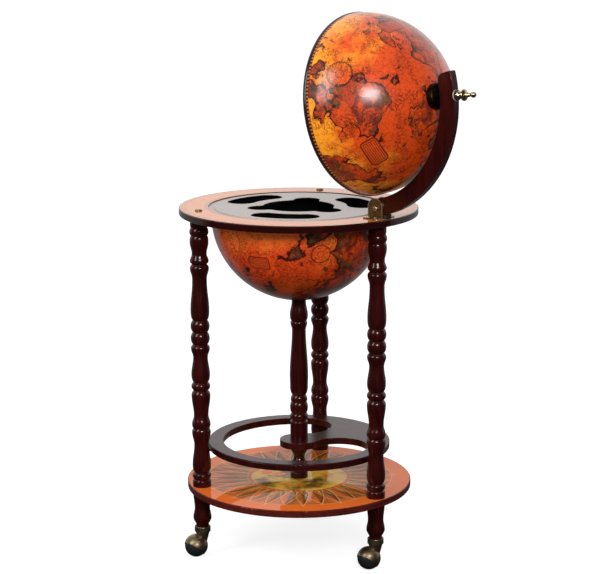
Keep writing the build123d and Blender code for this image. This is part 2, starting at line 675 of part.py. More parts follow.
# ---- Fittings at the pole ----
with BuildPart() as pole_hub:
    with BuildSketch(Plane.XZ):
        with BuildLine():
            shoulder_z = rock_z - hub_shoulder_drop
            seat_radius = globe_radius + hub_lid_gap
            blank_z = lid_centre + sqrt(seat_radius**2 - hub_radius**2) - cut_past
            Line((0, rock_z), (hub_flat_radius, rock_z))
            Spline((hub_flat_radius, rock_z), (hub_radius, shoulder_z),
                   tangents=((1, -hub_shoulder_slope), (hub_side_lean, -1)))
            Line((hub_radius, shoulder_z), (hub_radius, blank_z))
            Line((hub_radius, blank_z), (0, blank_z))
            Line((0, blank_z), (0, rock_z))
        make_face()
    revolve(axis=Axis.Z)
    with Locations((0, 0, lid_centre)):
        Sphere(seat_radius, mode=Mode.SUBTRACT)
    upright_rod(hub_neck_radius, neck_bottom_z, rock_z - hub_shoulder_drop)
    with Locations((0, 0, neck_bottom_z)):
        Cone(hub_bore_bottom, hub_bore_top, rock_z - neck_bottom_z,
             align=(Align.CENTER, Align.CENTER, Align.MIN), mode=Mode.SUBTRACT)
save(sagged(pole_hub.part), "pole_hub")

nut_top = lid_pole_inner - hub_nut_gap
with BuildPart() as hub_ring_nut:
    upright_rod(hub_nut_radius, nut_top - hub_nut_thickness, nut_top)
    fillet(hub_ring_nut.faces().sort_by(Axis.Z)[0].edges(), hub_nut_round)
    upright_hole(hub_neck_radius + fixed_fit, nut_top - hub_nut_thickness, nut_top)
save(sagged(hub_ring_nut.part), "hub_ring_nut")

flange_top = neck_bottom_z - stud_nut_gap
flange_bottom = flange_top - stud_flange_thickness
finial_seat_z = arm_centre + arm_outer + finial_washer_thickness + finial_ring_thickness
with BuildPart() as pole_stud:
    upright_rod(stud_radius, flange_bottom - stud_nut_thickness - stud_end_length,
                finial_seat_z + stud_in_finial)
save(opened(pole_stud.part), "pole_stud")

with BuildPart() as stud_nut:
    with BuildSketch(Plane.XY.offset(flange_bottom - stud_nut_thickness)):
        RegularPolygon(stud_nut_radius, 6)
    extrude(amount=stud_nut_thickness)
    upright_rod(stud_flange_radius, flange_bottom, flange_top)
    upright_hole(stud_radius + fixed_fit, flange_bottom - stud_nut_thickness, flange_top)
save(opened(stud_nut.part), "stud_nut")

# The washer and the rubber ring are cut to the curve of the arm's outer face.
washer_top = arm_centre + arm_outer + finial_washer_thickness
with BuildPart() as finial_washer:
    upright_rod(finial_washer_radius, washer_top - 2 * finial_washer_thickness, washer_top)
    with Locations((0, 0, arm_centre)):
        Cylinder(arm_outer, arm_width, rotation=(90, 0, 0), mode=Mode.SUBTRACT)
    upright_hole(stud_radius + fixed_fit, washer_top - 2 * finial_washer_thickness, washer_top)
save(opened(finial_washer.part), "finial_washer")

with BuildPart() as finial_ring:
    upright_rod(finial_ring_radius, washer_top, finial_seat_z)
    fillet(finial_ring.faces().sort_by(Axis.Z)[-1].edges(), finial_ring_round)
    upright_hole(stud_radius + fixed_fit, washer_top, finial_seat_z)
save(opened(finial_ring.part), "finial_ring")

with BuildPart() as finial:
    with BuildSketch(Plane.XZ):
        with BuildLine():
            bead_low = finial_bead_middle - finial_bead_height / 2
            bead_high = finial_bead_middle + finial_bead_height / 2
            ball_start = finial_ball_middle - sqrt(finial_ball_radius**2 - finial_waist_radius**2)
            tip = finial_ball_middle + finial_ball_radius
            Line((0, 0), (finial_seat_radius, 0))
            Spline((finial_seat_radius, 0), (finial_neck_radius, finial_seat_height),
                   tangents=((0, 1), (-1, 1)))
            Line((finial_neck_radius, finial_seat_height), (finial_neck_radius, bead_low))
            Spline((finial_neck_radius, bead_low), (finial_bead_radius, finial_bead_middle),
                   (finial_neck_radius, bead_high),
                   tangents=((1, finial_bead_slope), (-1, finial_bead_slope)))
            Spline((finial_neck_radius, bead_high), (finial_waist_radius, ball_start),
                   tangents=((0, 1), (0, 1)))
            ThreePointArc((finial_waist_radius, ball_start), (finial_ball_radius, finial_ball_middle),
                          (0, tip))
            Line((0, tip), (0, 0))
        make_face()
    revolve(axis=Axis.Z)
    upright_hole(stud_radius + fixed_fit, 0, stud_in_finial + running_fit)
save(opened(finial.part.moved(Location((0, 0, finial_seat_z)))), "finial")

# ---- Casters: one drawn on the Z axis and set under each foot, all turned the same way ----
heading, tilt = radians(axle_heading), radians(axle_tilt)
ball_centre = Vector(*caster_offset, wheel_radius)
axle_direction = Vector(cos(heading) * cos(tilt), sin(heading) * cos(tilt), -sin(tilt))
across = Vector(-sin(heading), cos(heading), 0)
axle_plane = Plane(origin=ball_centre, z_dir=axle_direction)
half_plane = Plane(origin=ball_centre, x_dir=across, z_dir=across.cross(axle_direction))
axle_line = Axis(ball_centre, axle_direction)
dome_start = hood_rim + hood_rim_gap
sleeve_top = foot_bottom + sleeve_length
cup_bottom = foot_bottom - cup_floor
neck_top = cup_bottom - swivel_gap
stem_top = sleeve_top - stem_top_gap

with BuildPart() as caster_socket:
    upright_rod(cup_radius, cup_bottom, foot_bottom + cup_depth)
    upright_hole(cup_radius - cup_wall, foot_bottom, foot_bottom + cup_depth)
    fillet(caster_socket.faces().sort_by(Axis.Z)[-1].edges(), cup_lip_round)
    upright_rod(sleeve_radius, cup_bottom, sleeve_top)
    upright_hole(stem_radius + running_fit, cup_bottom, sleeve_top)

with BuildPart() as caster_hood:
    with BuildSketch(half_plane):
        with BuildLine():
            rim_arc = CenterArc((0, 0), hood_radius, -90, 90 + degrees(asin(hood_rim / hood_radius)))
            Line(rim_arc @ 1, (0, hood_rim))
            Line((0, hood_rim), rim_arc @ 0)
        make_face()
    revolve(axis=axle_line)
    with Locations((0, 0, neck_bottom)):
        Cone(neck_bottom_radius, neck_top_radius, neck_top - neck_bottom,
             align=(Align.CENTER, Align.CENTER, Align.MIN))
    with BuildSketch(half_plane):
        with BuildLine():
            back_arc = CenterArc((0, 0), hood_inner_radius, degrees(asin(hood_back / hood_inner_radius)),
                                 90 - degrees(asin(hood_back / hood_inner_radius)))
            Line(back_arc @ 0, (0, hood_back))
            Line((0, hood_back), back_arc @ 1)
        make_face()
    revolve(axis=axle_line, mode=Mode.SUBTRACT)
    with Locations(axle_plane.offset(axle_root)):
        Cylinder(axle_radius + fixed_fit, axle_tip - axle_root, mode=Mode.SUBTRACT,
                 align=(Align.CENTER, Align.CENTER, Align.MIN))
    upright_hole(stem_radius + fixed_fit, stem_foot, neck_top)

with BuildPart() as caster_stem:
    upright_rod(stem_radius, stem_foot, stem_top)
    chamfer(caster_stem.faces().sort_by(Axis.Z)[-1].edges(), stem_chamfer)

with BuildPart() as caster_axle:
    with Locations(axle_plane.offset(axle_root)):
        Cylinder(axle_radius, axle_tip - axle_root, align=(Align.CENTER, Align.CENTER, Align.MIN))

with BuildPart() as caster_wheel:
    with BuildSketch(half_plane):
        with BuildLine():
            back_start = degrees(asin(wheel_back / wheel_inner_radius))
            step_inner = degrees(asin(dome_start / wheel_inner_radius))
            step_outer = degrees(asin(dome_start / wheel_radius))
            covered = CenterArc((0, 0), wheel_inner_radius, back_start, step_inner - back_start)
            dome = CenterArc((0, 0), wheel_radius, step_outer, 90 - step_outer)
            Line((0, wheel_back), covered @ 0)
            Line(covered @ 1, dome @ 0)
            Line(dome @ 1, (0, wheel_back))
        make_face()
    revolve(axis=axle_line)
    with Locations(axle_plane.offset(wheel_back)):
        Cylinder(axle_radius + running_fit, axle_tip + axle_end_gap - wheel_back,
                 align=(Align.CENTER, Align.CENTER, Align.MIN), mode=Mode.SUBTRACT)

for number, place in enumerate(leg_places, 1):
    under = Location(place.position)
    save(caster_socket.part.moved(under), f"caster_socket_{number}")
    save(caster_hood.part.moved(under), f"caster_hood_{number}")
    save(caster_stem.part.moved(under), f"caster_stem_{number}")
    save(caster_axle.part.moved(under), f"caster_axle_{number}")
    save(caster_wheel.part.moved(under), f"caster_wheel_{number}")
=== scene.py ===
"""Finishes the globe bar: prints and lacquers its globe and boards, stains its wood and ages its brass."""

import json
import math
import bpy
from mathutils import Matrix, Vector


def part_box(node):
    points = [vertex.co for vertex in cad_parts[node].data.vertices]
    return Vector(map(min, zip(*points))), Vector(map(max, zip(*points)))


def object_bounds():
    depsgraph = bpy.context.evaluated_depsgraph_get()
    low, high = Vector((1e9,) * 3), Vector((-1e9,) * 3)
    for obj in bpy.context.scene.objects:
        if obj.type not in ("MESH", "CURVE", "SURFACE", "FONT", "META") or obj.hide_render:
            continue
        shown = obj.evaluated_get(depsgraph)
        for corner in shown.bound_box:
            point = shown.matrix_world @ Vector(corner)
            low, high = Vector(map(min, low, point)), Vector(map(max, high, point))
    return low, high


bl_info = {
    "name": "Globe bar finishes",
    "version": (1, 0, 0),
    "blender": (4, 5, 0),
    "location": "View3D > Sidebar > Globe bar",
    "description": "Lacquered print, dark wood and antiqued brass for a globe bar, with its studio",
    "category": "Object",
}

import bpy
import numpy as np
from bpy.props import FloatProperty, FloatVectorProperty, PointerProperty
from mathutils import Matrix, Vector

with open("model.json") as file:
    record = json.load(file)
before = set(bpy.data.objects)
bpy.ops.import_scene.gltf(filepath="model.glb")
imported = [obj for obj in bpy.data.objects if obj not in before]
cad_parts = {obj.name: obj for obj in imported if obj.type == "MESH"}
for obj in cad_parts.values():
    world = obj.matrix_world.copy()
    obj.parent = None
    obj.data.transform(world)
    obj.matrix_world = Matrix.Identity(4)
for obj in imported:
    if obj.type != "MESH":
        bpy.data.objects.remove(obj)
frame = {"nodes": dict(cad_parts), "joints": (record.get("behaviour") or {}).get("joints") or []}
NODES = frame["nodes"]
CAD_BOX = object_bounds()
MM = 0.001


# ---- Places read from the frame, in metres ----
def top_of(node):
    """Height of a node's highest point."""
    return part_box(node)[1].z


def radius_of(node):
    """Radius of a node that is round about the Z axis."""
    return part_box(node)[1].x


def named(*starts):
    """Names of the CAD nodes that start with one of these."""
    return [name for name in NODES if name.startswith(starts)]


RING_TOP = top_of("ring_table")
TRAY_RADIUS = radius_of("tray_insert")
BOWL_RADIUS = radius_of("bowl_shell")
BOWL_CENTRE = Vector((0, 0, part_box("bowl_shell")[0].z + BOWL_RADIUS))
LID_SPIN = next(joint for joint in frame["joints"] if joint["name"] == "lid_spin")
LID_CENTRE = Vector(LID_SPIN["pos_m"])
LID_AXIS = Vector(LID_SPIN["axis"])
LID_TILT = math.atan2(LID_AXIS.x, LID_AXIS.z)
GLOBE_WALL = 3 * MM


# ---- Sizes within the prints: radii on the boards and heights on the globe, in millimetres ----
SUN_MIDDLE, SUN_TICKS, SUN_SHORT, SUN_BAND, SUN_TIPS = 92.0, 100.0, 140.0, 178.0, 184.0
RING_SCALE = (169.0, 176.0)
RING_DOTS = (213.0, 219.0)
DEGREE_BAND = (9.5, 14.2)
DEGREE_EDGE = 14.6

# Display colours of what hardly shows, and so isn't a setting.
LID_LINING = (0.32, 0.1, 0.06)
BOWL_LINING = (0.04, 0.04, 0.04)
HUB_TARNISH = (0.08, 0.07, 0.05)
ZINC = (0.75, 0.75, 0.76)
ZINC_SHADE = (0.5, 0.5, 0.52)
NYLON = (0.62, 0.6, 0.56)
RUBBER = (0.03, 0.03, 0.03)

# The studio: half the floor's side in metres, the floor's greys in linear light (as seen, as it lights the
# object, and in reflections), its glow, and how bright the backdrop, the ceiling and the rest are in gloss.
FLOOR_HALF_SIDE = 40.0
FLOOR_SEEN = 0.34
FLOOR_BOUNCE = 0.12
FLOOR_IN_GLOSS = 0.02
FLOOR_GLOW = 0.8
FLOOR_GLOW_IN_GLOSS = 0.25
BACKDROP_IN_GLOSS = 0.94
CEILING_IN_GLOSS = 0.3
REST_IN_GLOSS = 0.01


# ---- Settings ----
def colour_setting(name, description, red, green, blue):
    """A colour the user can change, given as display values from 0 to 255."""
    return FloatVectorProperty(name=name, description=description, subtype="COLOR_GAMMA", size=3,
                               min=0, max=1, default=(red / 255, green / 255, blue / 255))


class PrintSettings(bpy.types.PropertyGroup):
    """Colours of the printed paper on the globe, the ring and the shelf."""
    sea: colour_setting("Sea", "Open water of the map", 246, 152, 34)
    sea_deep: colour_setting("Deep sea", "Redder water, mostly towards the pole", 206, 68, 14)
    bowl_sea: colour_setting("Bowl sea", "Water on the bowl", 252, 118, 40)
    bowl_deep: colour_setting("Bowl deep sea", "Redder water on the bowl", 226, 72, 20)
    land: colour_setting("Land", "Plain land", 196, 70, 22)
    land_dark: colour_setting("Dark land", "Shaded land", 128, 46, 30)
    shore: colour_setting("Shore", "Shading along the coasts", 76, 44, 34)
    moss: colour_setting("Moss", "Green-brown smudges beside the coasts", 96, 72, 32)
    ink: colour_setting("Ink", "Lines and small marks", 48, 12, 5)
    ring: colour_setting("Ring", "Ground of the ring's print", 208, 124, 50)
    board: colour_setting("Shelf ground", "Ground of the shelf's print", 206, 98, 34)
    board_centre: colour_setting("Shelf centre", "Middle of the shelf's print", 214, 166, 62)
    board_leaf: colour_setting("Shelf leaf", "Green-brown rays of the shelf's print", 98, 68, 24)
    board_rose: colour_setting("Shelf rose", "Red-brown rays of the shelf's print", 172, 92, 46)
    board_line: colour_setting("Shelf lines", "Pale lines of the shelf's print", 214, 150, 92)
    lid_lands: FloatProperty(name="Lands on the lid", description="Larger gives more and smaller lands",
                             default=1.9, min=0.5, max=6)
    bowl_lands: FloatProperty(name="Lands on the bowl", description="Larger gives more and smaller lands",
                              default=1.3, min=0.5, max=6)


class WoodSettings(bpy.types.PropertyGroup):
    """Colours and gloss of the stained wood."""
    dark: colour_setting("Dark stain", "Stain between the grain", 26, 3, 3)
    warm: colour_setting("Warm stain", "Stain along the grain", 52, 7, 6)
    ring_edge: colour_setting("Ring edge", "Stain on the ring's edges", 36, 6, 5)
    shelf_edge: colour_setting("Shelf edge", "Stain on the shelf's edge", 82, 28, 22)
    lacquer_roughness: FloatProperty(name="Lacquer roughness", description="Roughness of the clear coat",
                                     default=0.13, min=0, max=1)
    rack_roughness: FloatProperty(name="Rack roughness", description="Roughness of the rack's clear coat",
                                  default=0.24, min=0, max=1)


class MetalSettings(bpy.types.PropertyGroup):
    """Colours of the metal and plastic fittings."""
    brass: colour_setting("Antique brass", "Rubbed brass", 150, 127, 84)
    tarnish: colour_setting("Tarnish", "Dark patina in the hollows", 66, 54, 38)
    bronze: colour_setting("Caster bronze", "Rubbed bronze of the casters", 170, 151, 120)
    bright_brass: colour_setting("Bright brass", "Finial", 226, 210, 170)
    hub: colour_setting("Hub", "Dark boss over the lid", 42, 30, 20)
    tray: colour_setting("Tray", "Tray insert", 155, 143, 139)
    tray_shade: colour_setting("Tray shade", "Sides of the tray's holes", 14, 13, 13)
    trim: colour_setting("Rim trim", "Band round the lid's edge", 30, 20, 22)
    ball: colour_setting("Caster ball", "Caster ball", 26, 27, 29)


class StudioSettings(bpy.types.PropertyGroup):
    """Light and camera."""
    fill: FloatProperty(name="Fill", description="Light from all round, most from above", default=0.8,
                        min=0)
    key_power: FloatProperty(name="Key light", description="Softbox beside the camera", default=62.0,
                             min=0, unit="POWER")
    side_power: FloatProperty(name="Side light", description="Tall softbox to the left", default=36.0,
                              min=0, unit="POWER")
    camera_distance: FloatProperty(name="Camera distance", default=3.6103, unit="LENGTH",
                                   description="Level distance from the globe's axis")
    camera_height: FloatProperty(name="Camera height", description="Height above the floor",
                                 default=1.2656, unit="LENGTH")
    camera_bearing: FloatProperty(name="Camera bearing", subtype="ANGLE", default=math.radians(42.5),
                                  description="Bearing of the camera from -Y, towards +X")
    camera_yaw: FloatProperty(name="Camera yaw", description="Turn to the left of the globe's axis",
                              default=math.radians(0.114), subtype="ANGLE")
    camera_pitch: FloatProperty(name="Camera pitch", description="Tilt below level",
                                default=math.radians(11.763), subtype="ANGLE")
    camera_roll: FloatProperty(name="Camera roll", description="Lean of the picture",
                               default=math.radians(-0.142), subtype="ANGLE")
    lens: FloatProperty(name="Lens", description="Focal length on a 36 mm sensor, in millimetres",
                        default=118.7, min=1)


def settings():
    """All the settings, on the scene."""
    return bpy.context.scene.globe_bar


def linear(colour):
    """Display colour to the linear RGBA a shader socket takes."""
    return (*(c / 12.92 if c <= 0.04045 else ((c + 0.055) / 1.055) ** 2.4 for c in colour), 1.0)


def grey(level):
    """A grey as the linear RGBA a shader socket takes."""
    return (level, level, level, 1.0)


# ---- Shader nodes ----
class Graph:
    """Short calls that add shader nodes to a tree and give back their output sockets."""

    def __init__(self, tree):
        self.tree = tree

    def add(self, kind, inputs=None, **options):
        """A node with its options set and its inputs linked or given a value."""
        node = self.tree.nodes.new(kind)
        for name, value in options.items():
            setattr(node, name, value)
        for key, value in (inputs or {}).items():
            self.feed(node.inputs[key], value)
        return node

    def feed(self, socket, value):
        """Links an input to an output socket, or gives it a value."""
        if isinstance(value, bpy.types.NodeSocket):
            self.tree.links.new(value, socket)
        else:
            socket.default_value = value

    def place(self):
        """Object coordinates, in metres."""
        return self.add("ShaderNodeTexCoord").outputs["Object"]

    # Numbers
    def math(self, operation, *values):
        return self.add("ShaderNodeMath", dict(enumerate(values)), operation=operation).outputs[0]

    def minus(self, value, taken):
        return self.math("SUBTRACT", value, taken)

    def product(self, *values):
        total = values[0]
        for value in values[1:]:
            total = self.math("MULTIPLY", total, value)
        return total

    def plus(self, start, value, times):
        """A start value plus another one multiplied."""
        return self.math("ADD", start, self.math("MULTIPLY", value, times))

    def either(self, *masks):
        """The largest of several masks."""
        total = masks[0]
        for mask in masks[1:]:
            total = self.math("MAXIMUM", total, mask)
        return total

    def outside(self, mask):
        """1 where the mask is 0."""
        return self.minus(1.0, mask)

    def step(self, value, low, high):
        """0 below low and 1 above high, smooth between; it falls instead when low is the larger."""
        return self.add("ShaderNodeMapRange", {0: value, 1: low, 2: high},
                        interpolation_type="SMOOTHSTEP").outputs[0]

    def line(self, value, half_width, soft):
        """1 where the value lies within half_width of 0."""
        return self.step(self.math("ABSOLUTE", value), half_width + soft, half_width)

    def line_at(self, value, mark, half_width, soft):
        """1 where the value lies within half_width of a mark."""
        return self.line(self.minus(value, mark), half_width, soft)

    def within(self, value, low, high, soft):
        """1 where the value lies between low and high."""
        return self.product(self.step(value, low - soft, low + soft),
                            self.step(value, high + soft, high - soft))

    def repeat(self, value, count):
        """Distance from the nearest of count even marks per unit, from -0.5 to 0.5."""
        turned = self.math("ADD", self.math("MULTIPLY", value, count), 0.5)
        return self.minus(self.math("FRACT", turned), 0.5)

    def marks(self, value, count, half_width, soft):
        """Lines at count even marks per unit, their widths in gaps between the marks."""
        return self.line(self.repeat(value, count), half_width, soft)

    # Vectors
    def vector(self, operation, *values):
        node = self.add("ShaderNodeVectorMath", dict(enumerate(values)), operation=operation)
        single = operation in ("LENGTH", "DOT_PRODUCT", "DISTANCE")
        return node.outputs["Value" if single else "Vector"]

    def parts(self, vector):
        return self.add("ShaderNodeSeparateXYZ", {0: vector}).outputs

    def together(self, x, y, z):
        return self.add("ShaderNodeCombineXYZ", {0: x, 1: y, 2: z}).outputs[0]

    def length(self, x, y):
        """Distance of the point (x, y) from the origin."""
        return self.vector("LENGTH", self.together(x, y, 0.0))

    def turn(self, x, y):
        """Angle of the point (x, y) about the origin, in whole turns."""
        return self.math("DIVIDE", self.math("ARCTAN2", y, x), 2 * math.pi)

    def round_place(self, place):
        """Distance from the Z axis in millimetres, and angle about it in whole turns."""
        x, y, _ = self.parts(place)
        return self.math("DIVIDE", self.length(x, y), MM), self.turn(x, y)

    # Textures and colours
    def noise(self, place, scale, detail=3.0, roughness=0.5, output="Fac", distortion=0.0):
        """Noise from 0 to 1, or in colour, with about scale lumps to the unit and detail finer octaves."""
        return self.add("ShaderNodeTexNoise", {"Vector": place, "Scale": scale, "Detail": detail,
                                               "Roughness": roughness, "Distortion": distortion}
                        ).outputs[output]

    def patches(self, place, scale, detail, roughness, low, high):
        """Noise as a mask: 0 where it is below low and 1 where it is above high."""
        return self.step(self.noise(place, scale, detail, roughness), low, high)

    def cells(self, place, scale, feature="F1", output="Distance"):
        """Cells about random points: the distance from a point or from an edge, or a colour for each."""
        return self.add("ShaderNodeTexVoronoi", {"Vector": place, "Scale": scale},
                        feature=feature).outputs[output]

    def blend(self, factor, first, second, kind="MIX"):
        """Colours mixed: the first at factor 0 and the second at 1."""
        return self.add("ShaderNodeMix", {0: factor, 6: first, 7: second}, data_type="RGBA",
                        blend_type=kind).outputs[2]

    def cover(self, colour, mask, strength, other):
        """A colour with another laid over it under a mask."""
        return self.blend(self.product(mask, strength), colour, other)

    def shaded(self, colour, light):
        """A colour multiplied by a number."""
        return self.blend(1.0, colour, self.together(light, light, light), "MULTIPLY")

    def bump(self, height, distance, strength):
        return self.add("ShaderNodeBump", {"Height": height, "Distance": distance,
                                           "Strength": strength}).outputs[0]


def empty_graph(owner):
    """The graph of a material or a world, with no nodes in it yet."""
    owner.use_nodes = True
    owner.node_tree.nodes.clear()
    return Graph(owner.node_tree)


def new_group(name, inputs, outputs):
    """An empty node group: its graph, its input sockets by name and its output node."""
    tree = bpy.data.node_groups.new(name, "ShaderNodeTree")
    kinds = {"colour": "NodeSocketColor", "vector": "NodeSocketVector", "value": "NodeSocketFloat"}
    for socket_name, kind in inputs.items():
        tree.interface.new_socket(socket_name, in_out="INPUT", socket_type=kinds[kind])
    for socket_name, kind in outputs.items():
        tree.interface.new_socket(socket_name, in_out="OUTPUT", socket_type=kinds[kind])
    graph = Graph(tree)
    return graph, graph.add("NodeGroupInput").outputs, graph.add("NodeGroupOutput").inputs


def use_group(graph, name, inputs):
    """A group's outputs, placed in a material with this material's values."""
    node = graph.add("ShaderNodeGroup", node_tree=bpy.data.node_groups[name])
    for key, value in inputs.items():
        graph.feed(node.inputs[key], value)
    return node.outputs


def new_motif(name):
    """An empty group for a motif on the globe, and a point's two coordinates on it, measured in its size.

    The first runs along Across and the second at right angles to it, and both are 0 at the motif's centre.
    """
    graph, given, out = new_group(
        name, {"Direction": "vector", "Centre": "vector", "Across": "vector", "Size": "value"},
        {"Ink": "value", "Fill": "value"})
    upward = graph.vector("CROSS_PRODUCT", given["Centre"], given["Across"])
    sideways, upwards = (
        graph.math("DIVIDE", graph.vector("DOT_PRODUCT", given["Direction"], way), given["Size"])
        for way in (given["Across"], upward))
    return graph, given, out, sideways, upwards


def build_compass_rose():
    """Group: a round compass rose on a unit sphere, as ink lines and as the fill of its star.

    The star's edge is the farther out of eight short points and four long ones, and the sides of each point
    come in evenly with the angle from its middle.
    """
    graph, given, out, sideways, upwards = new_motif("Compass rose")
    distance = graph.vector("DISTANCE", given["Direction"], given["Centre"])
    away = graph.math("DIVIDE", distance, given["Size"])
    turn = graph.turn(sideways, upwards)
    hub_ring, scale_low, scale_high = 0.3, 0.86, 0.94
    short_point = graph.plus(0.8, graph.math("ABSOLUTE", graph.repeat(turn, 8)), -1.2)
    long_point = graph.plus(1.15, graph.math("ABSOLUTE", graph.repeat(turn, 4)), -3.6)
    edge = graph.minus(graph.either(short_point, long_point), away)
    rings = (graph.line_at(away, radius, 0.012, 0.02) for radius in (hub_ring, scale_low, scale_high))
    ticks = graph.product(graph.within(away, scale_low, scale_high, 0.01), graph.marks(turn, 32, 0.2, 0.05))
    outline = graph.line(edge, 0.015, 0.02)
    near = graph.step(away, 1.2, 1.1)
    half_of_point = graph.step(graph.repeat(turn, 8), -0.02, 0.02)
    graph.feed(out["Ink"], graph.product(graph.either(*rings, ticks, outline), near))
    graph.feed(out["Fill"], graph.product(graph.step(edge, 0.0, 0.02), half_of_point, near))


def build_map_panel():
    """Group: a framed panel on a unit sphere, as ink lines and as its fill.

    Its frames are lines of equal distance from an oblong in its middle, so their corners are round.
    """
    graph, given, out, sideways, upwards = new_motif("Map panel")
    half_width, half_height = 0.7, 0.32
    inner_frame, bead_frame, outer_frame = 0.12, 0.24, 0.3
    beyond = [graph.math("MAXIMUM", graph.minus(graph.math("ABSOLUTE", value), half), 0.0)
              for value, half in ((sideways, half_width), (upwards, half_height))]
    away = graph.length(*beyond)
    facing = graph.step(graph.vector("DOT_PRODUCT", given["Direction"], given["Centre"]), 0.5, 0.6)
    frames = (graph.line_at(away, frame_line, 0.016, 0.02)
              for frame_line in (outer_frame, bead_frame, inner_frame))
    rows = graph.product(graph.marks(upwards, 7, 0.2, 0.1), graph.step(away, 0.1, 0.06),
                         graph.patches(graph.together(sideways, 0.0, upwards), 14.0, 1.0, 0.5, 0.4, 0.5))
    beads = graph.product(graph.within(away, bead_frame, outer_frame, 0.01),
                          graph.marks(graph.math("ADD", sideways, upwards), 9, 0.2, 0.06))
    graph.feed(out["Ink"], graph.product(graph.either(*frames, rows, beads), facing))
    graph.feed(out["Fill"], graph.product(graph.step(away, outer_frame + 0.02, outer_frame), facing))


def build_antique_map():
    """Group: an invented antique map on a unit sphere. Land is where a sum of noises is high."""
    colours = ("Sea", "Deep sea", "Land", "Dark land", "Shore", "Moss", "Ink")
    # One value input is painted shade: how much the colour is darkened towards the pole.
    graph, given, out = new_group(
        "Antique map", {"Direction": "vector", "Shift": "vector", "Land scale": "value", "Redness": "value",
                        "Painted shade": "value", **dict.fromkeys(colours, "colour")}, {"Colour": "colour"})
    direction = given["Direction"]
    place = graph.vector("ADD", direction, given["Shift"])
    wander = graph.vector("SUBTRACT", graph.noise(place, 2.8, 2.0, output="Color"), (0.5, 0.5, 0.5))
    bent = graph.vector("ADD", place, graph.vector("MULTIPLY", wander, (0.34, 0.34, 0.34)))
    islands = graph.minus(graph.noise(bent, 5.0, 4.0, 0.55), 0.125)
    ragged = graph.product(graph.minus(graph.noise(place, 24.0, 4.0, 0.65), 0.5), 0.05)
    height = graph.math("ADD", graph.either(graph.noise(bent, given["Land scale"]), islands), ragged)
    shore = graph.minus(height, 0.535)
    is_land = graph.step(shore, -0.002, 0.002)

    # Water: warm, redder towards the pole, with ripples along the coasts and drifts of specks.
    x, y, z = graph.parts(direction)
    poleward = graph.math("ABSOLUTE", z)
    redness = graph.math("ADD", graph.noise(place, 2.6, 4.0, 0.6), given["Redness"])
    depth = graph.step(graph.plus(redness, poleward, 0.62), 0.5, 0.92)
    colour = graph.blend(depth, given["Sea"], given["Deep sea"])
    ripples = graph.product(graph.marks(shore, 70, 0.12, 0.14), graph.step(shore, -0.05, -0.005),
                            graph.outside(is_land))
    specks = graph.product(graph.step(graph.cells(place, 64.0), 0.3, 0.2),
                           graph.patches(place, 4.2, 2.0, 0.5, 0.46, 0.58))

    # Land: provinces in different tints, borders, rivers, and hill strokes.
    province = graph.parts(graph.cells(bent, 5.0, output="Color"))[0]
    land = graph.blend(graph.step(province, 0.2, 0.75), given["Land"], given["Dark land"])
    land = graph.blend(graph.patches(place, 7.0, 3.0, 0.5, 0.48, 0.62), land, given["Deep sea"])
    colour = graph.blend(is_land, colour, land)
    hills = graph.product(graph.line_at(graph.noise(bent, 30.0, 3.0, 0.6), 0.5, 0.024, 0.03),
                          graph.patches(place, 5.5, 2.0, 0.5, 0.45, 0.55))
    border = graph.product(graph.line(graph.cells(bent, 5.0, "DISTANCE_TO_EDGE"), 0.012, 0.012), is_land)
    rivers = graph.product(graph.line_at(graph.noise(bent, 6.5), 0.5, 0.004, 0.006), is_land)

    # Shading inside the coasts, wide and narrow by turns, and green-brown woods along some of them.
    width = graph.plus(0.012, graph.patches(place, 4.5, 3.0, 0.55, 0.38, 0.66), 0.06)
    shading = graph.product(graph.step(graph.math("DIVIDE", shore, width), 1.0, 0.15), is_land)
    colour = graph.cover(colour, shading, 0.9, given["Shore"])
    woods = graph.product(graph.patches(place, 3.0, 3.0, 0.5, 0.5, 0.6),
                          graph.patches(bent, 9.0, 4.0, 0.6, 0.5, 0.58), graph.step(shore, -0.004, 0.01))
    colour = graph.cover(colour, woods, 0.8, given["Moss"])
    colour = graph.cover(colour, graph.patches(place, 30.0, 5.0, 0.7, 0.46, 0.68), 0.42, given["Ink"])

    # Lines of latitude and longitude, and straight sailing lines, each on a plane through the centre.
    latitude = graph.math("DIVIDE", graph.math("ARCSINE", z), math.pi)
    ring_size = graph.math("SQRT", graph.outside(graph.product(z, z)))
    meridians = graph.line(graph.product(graph.repeat(graph.turn(x, y), 24), ring_size), 0.005, 0.006)
    parallels = graph.marks(latitude, 12, 0.005, 0.006)
    normals = ((0.32, 0.66, -0.68), (-0.61, 0.52, 0.6), (0.86, 0.12, 0.5), (0.2, -0.9, 0.39))
    courses = (graph.line(graph.vector("DOT_PRODUCT", direction, normal), 0.0012, 0.0015)
               for normal in normals)
    coast = graph.line_at(shore, 0.002, 0.005, 0.005)
    fainter = ((ripples, 0.5), (hills, 0.75), (border, 0.5), (rivers, 0.7), (specks, 0.8),
               (graph.either(meridians, parallels), 0.4), (graph.either(*courses), 0.5))
    ink = graph.either(coast, *(graph.product(mask, strength) for mask, strength in fainter))
    colour = graph.cover(colour, ink, 0.92, given["Ink"])

    # Age: darker clouds and the paper's fibre. Then painted shade: the colour darkened towards the pole,
    # where the bowl faces away from the light.
    age = graph.patches(place, 2.1, 4.0, 0.6, 0.25, 0.6)
    fibre = graph.plus(0.9, graph.noise(place, 90.0, 2.0), 0.2)
    painted_shade = graph.product(graph.step(poleward, 0.3, 0.95), given["Painted shade"])
    age_and_painted_shade = graph.product(graph.plus(0.84, age, 0.16), fibre, graph.outside(painted_shade))
    graph.feed(out["Colour"], graph.shaded(colour, age_and_painted_shade))


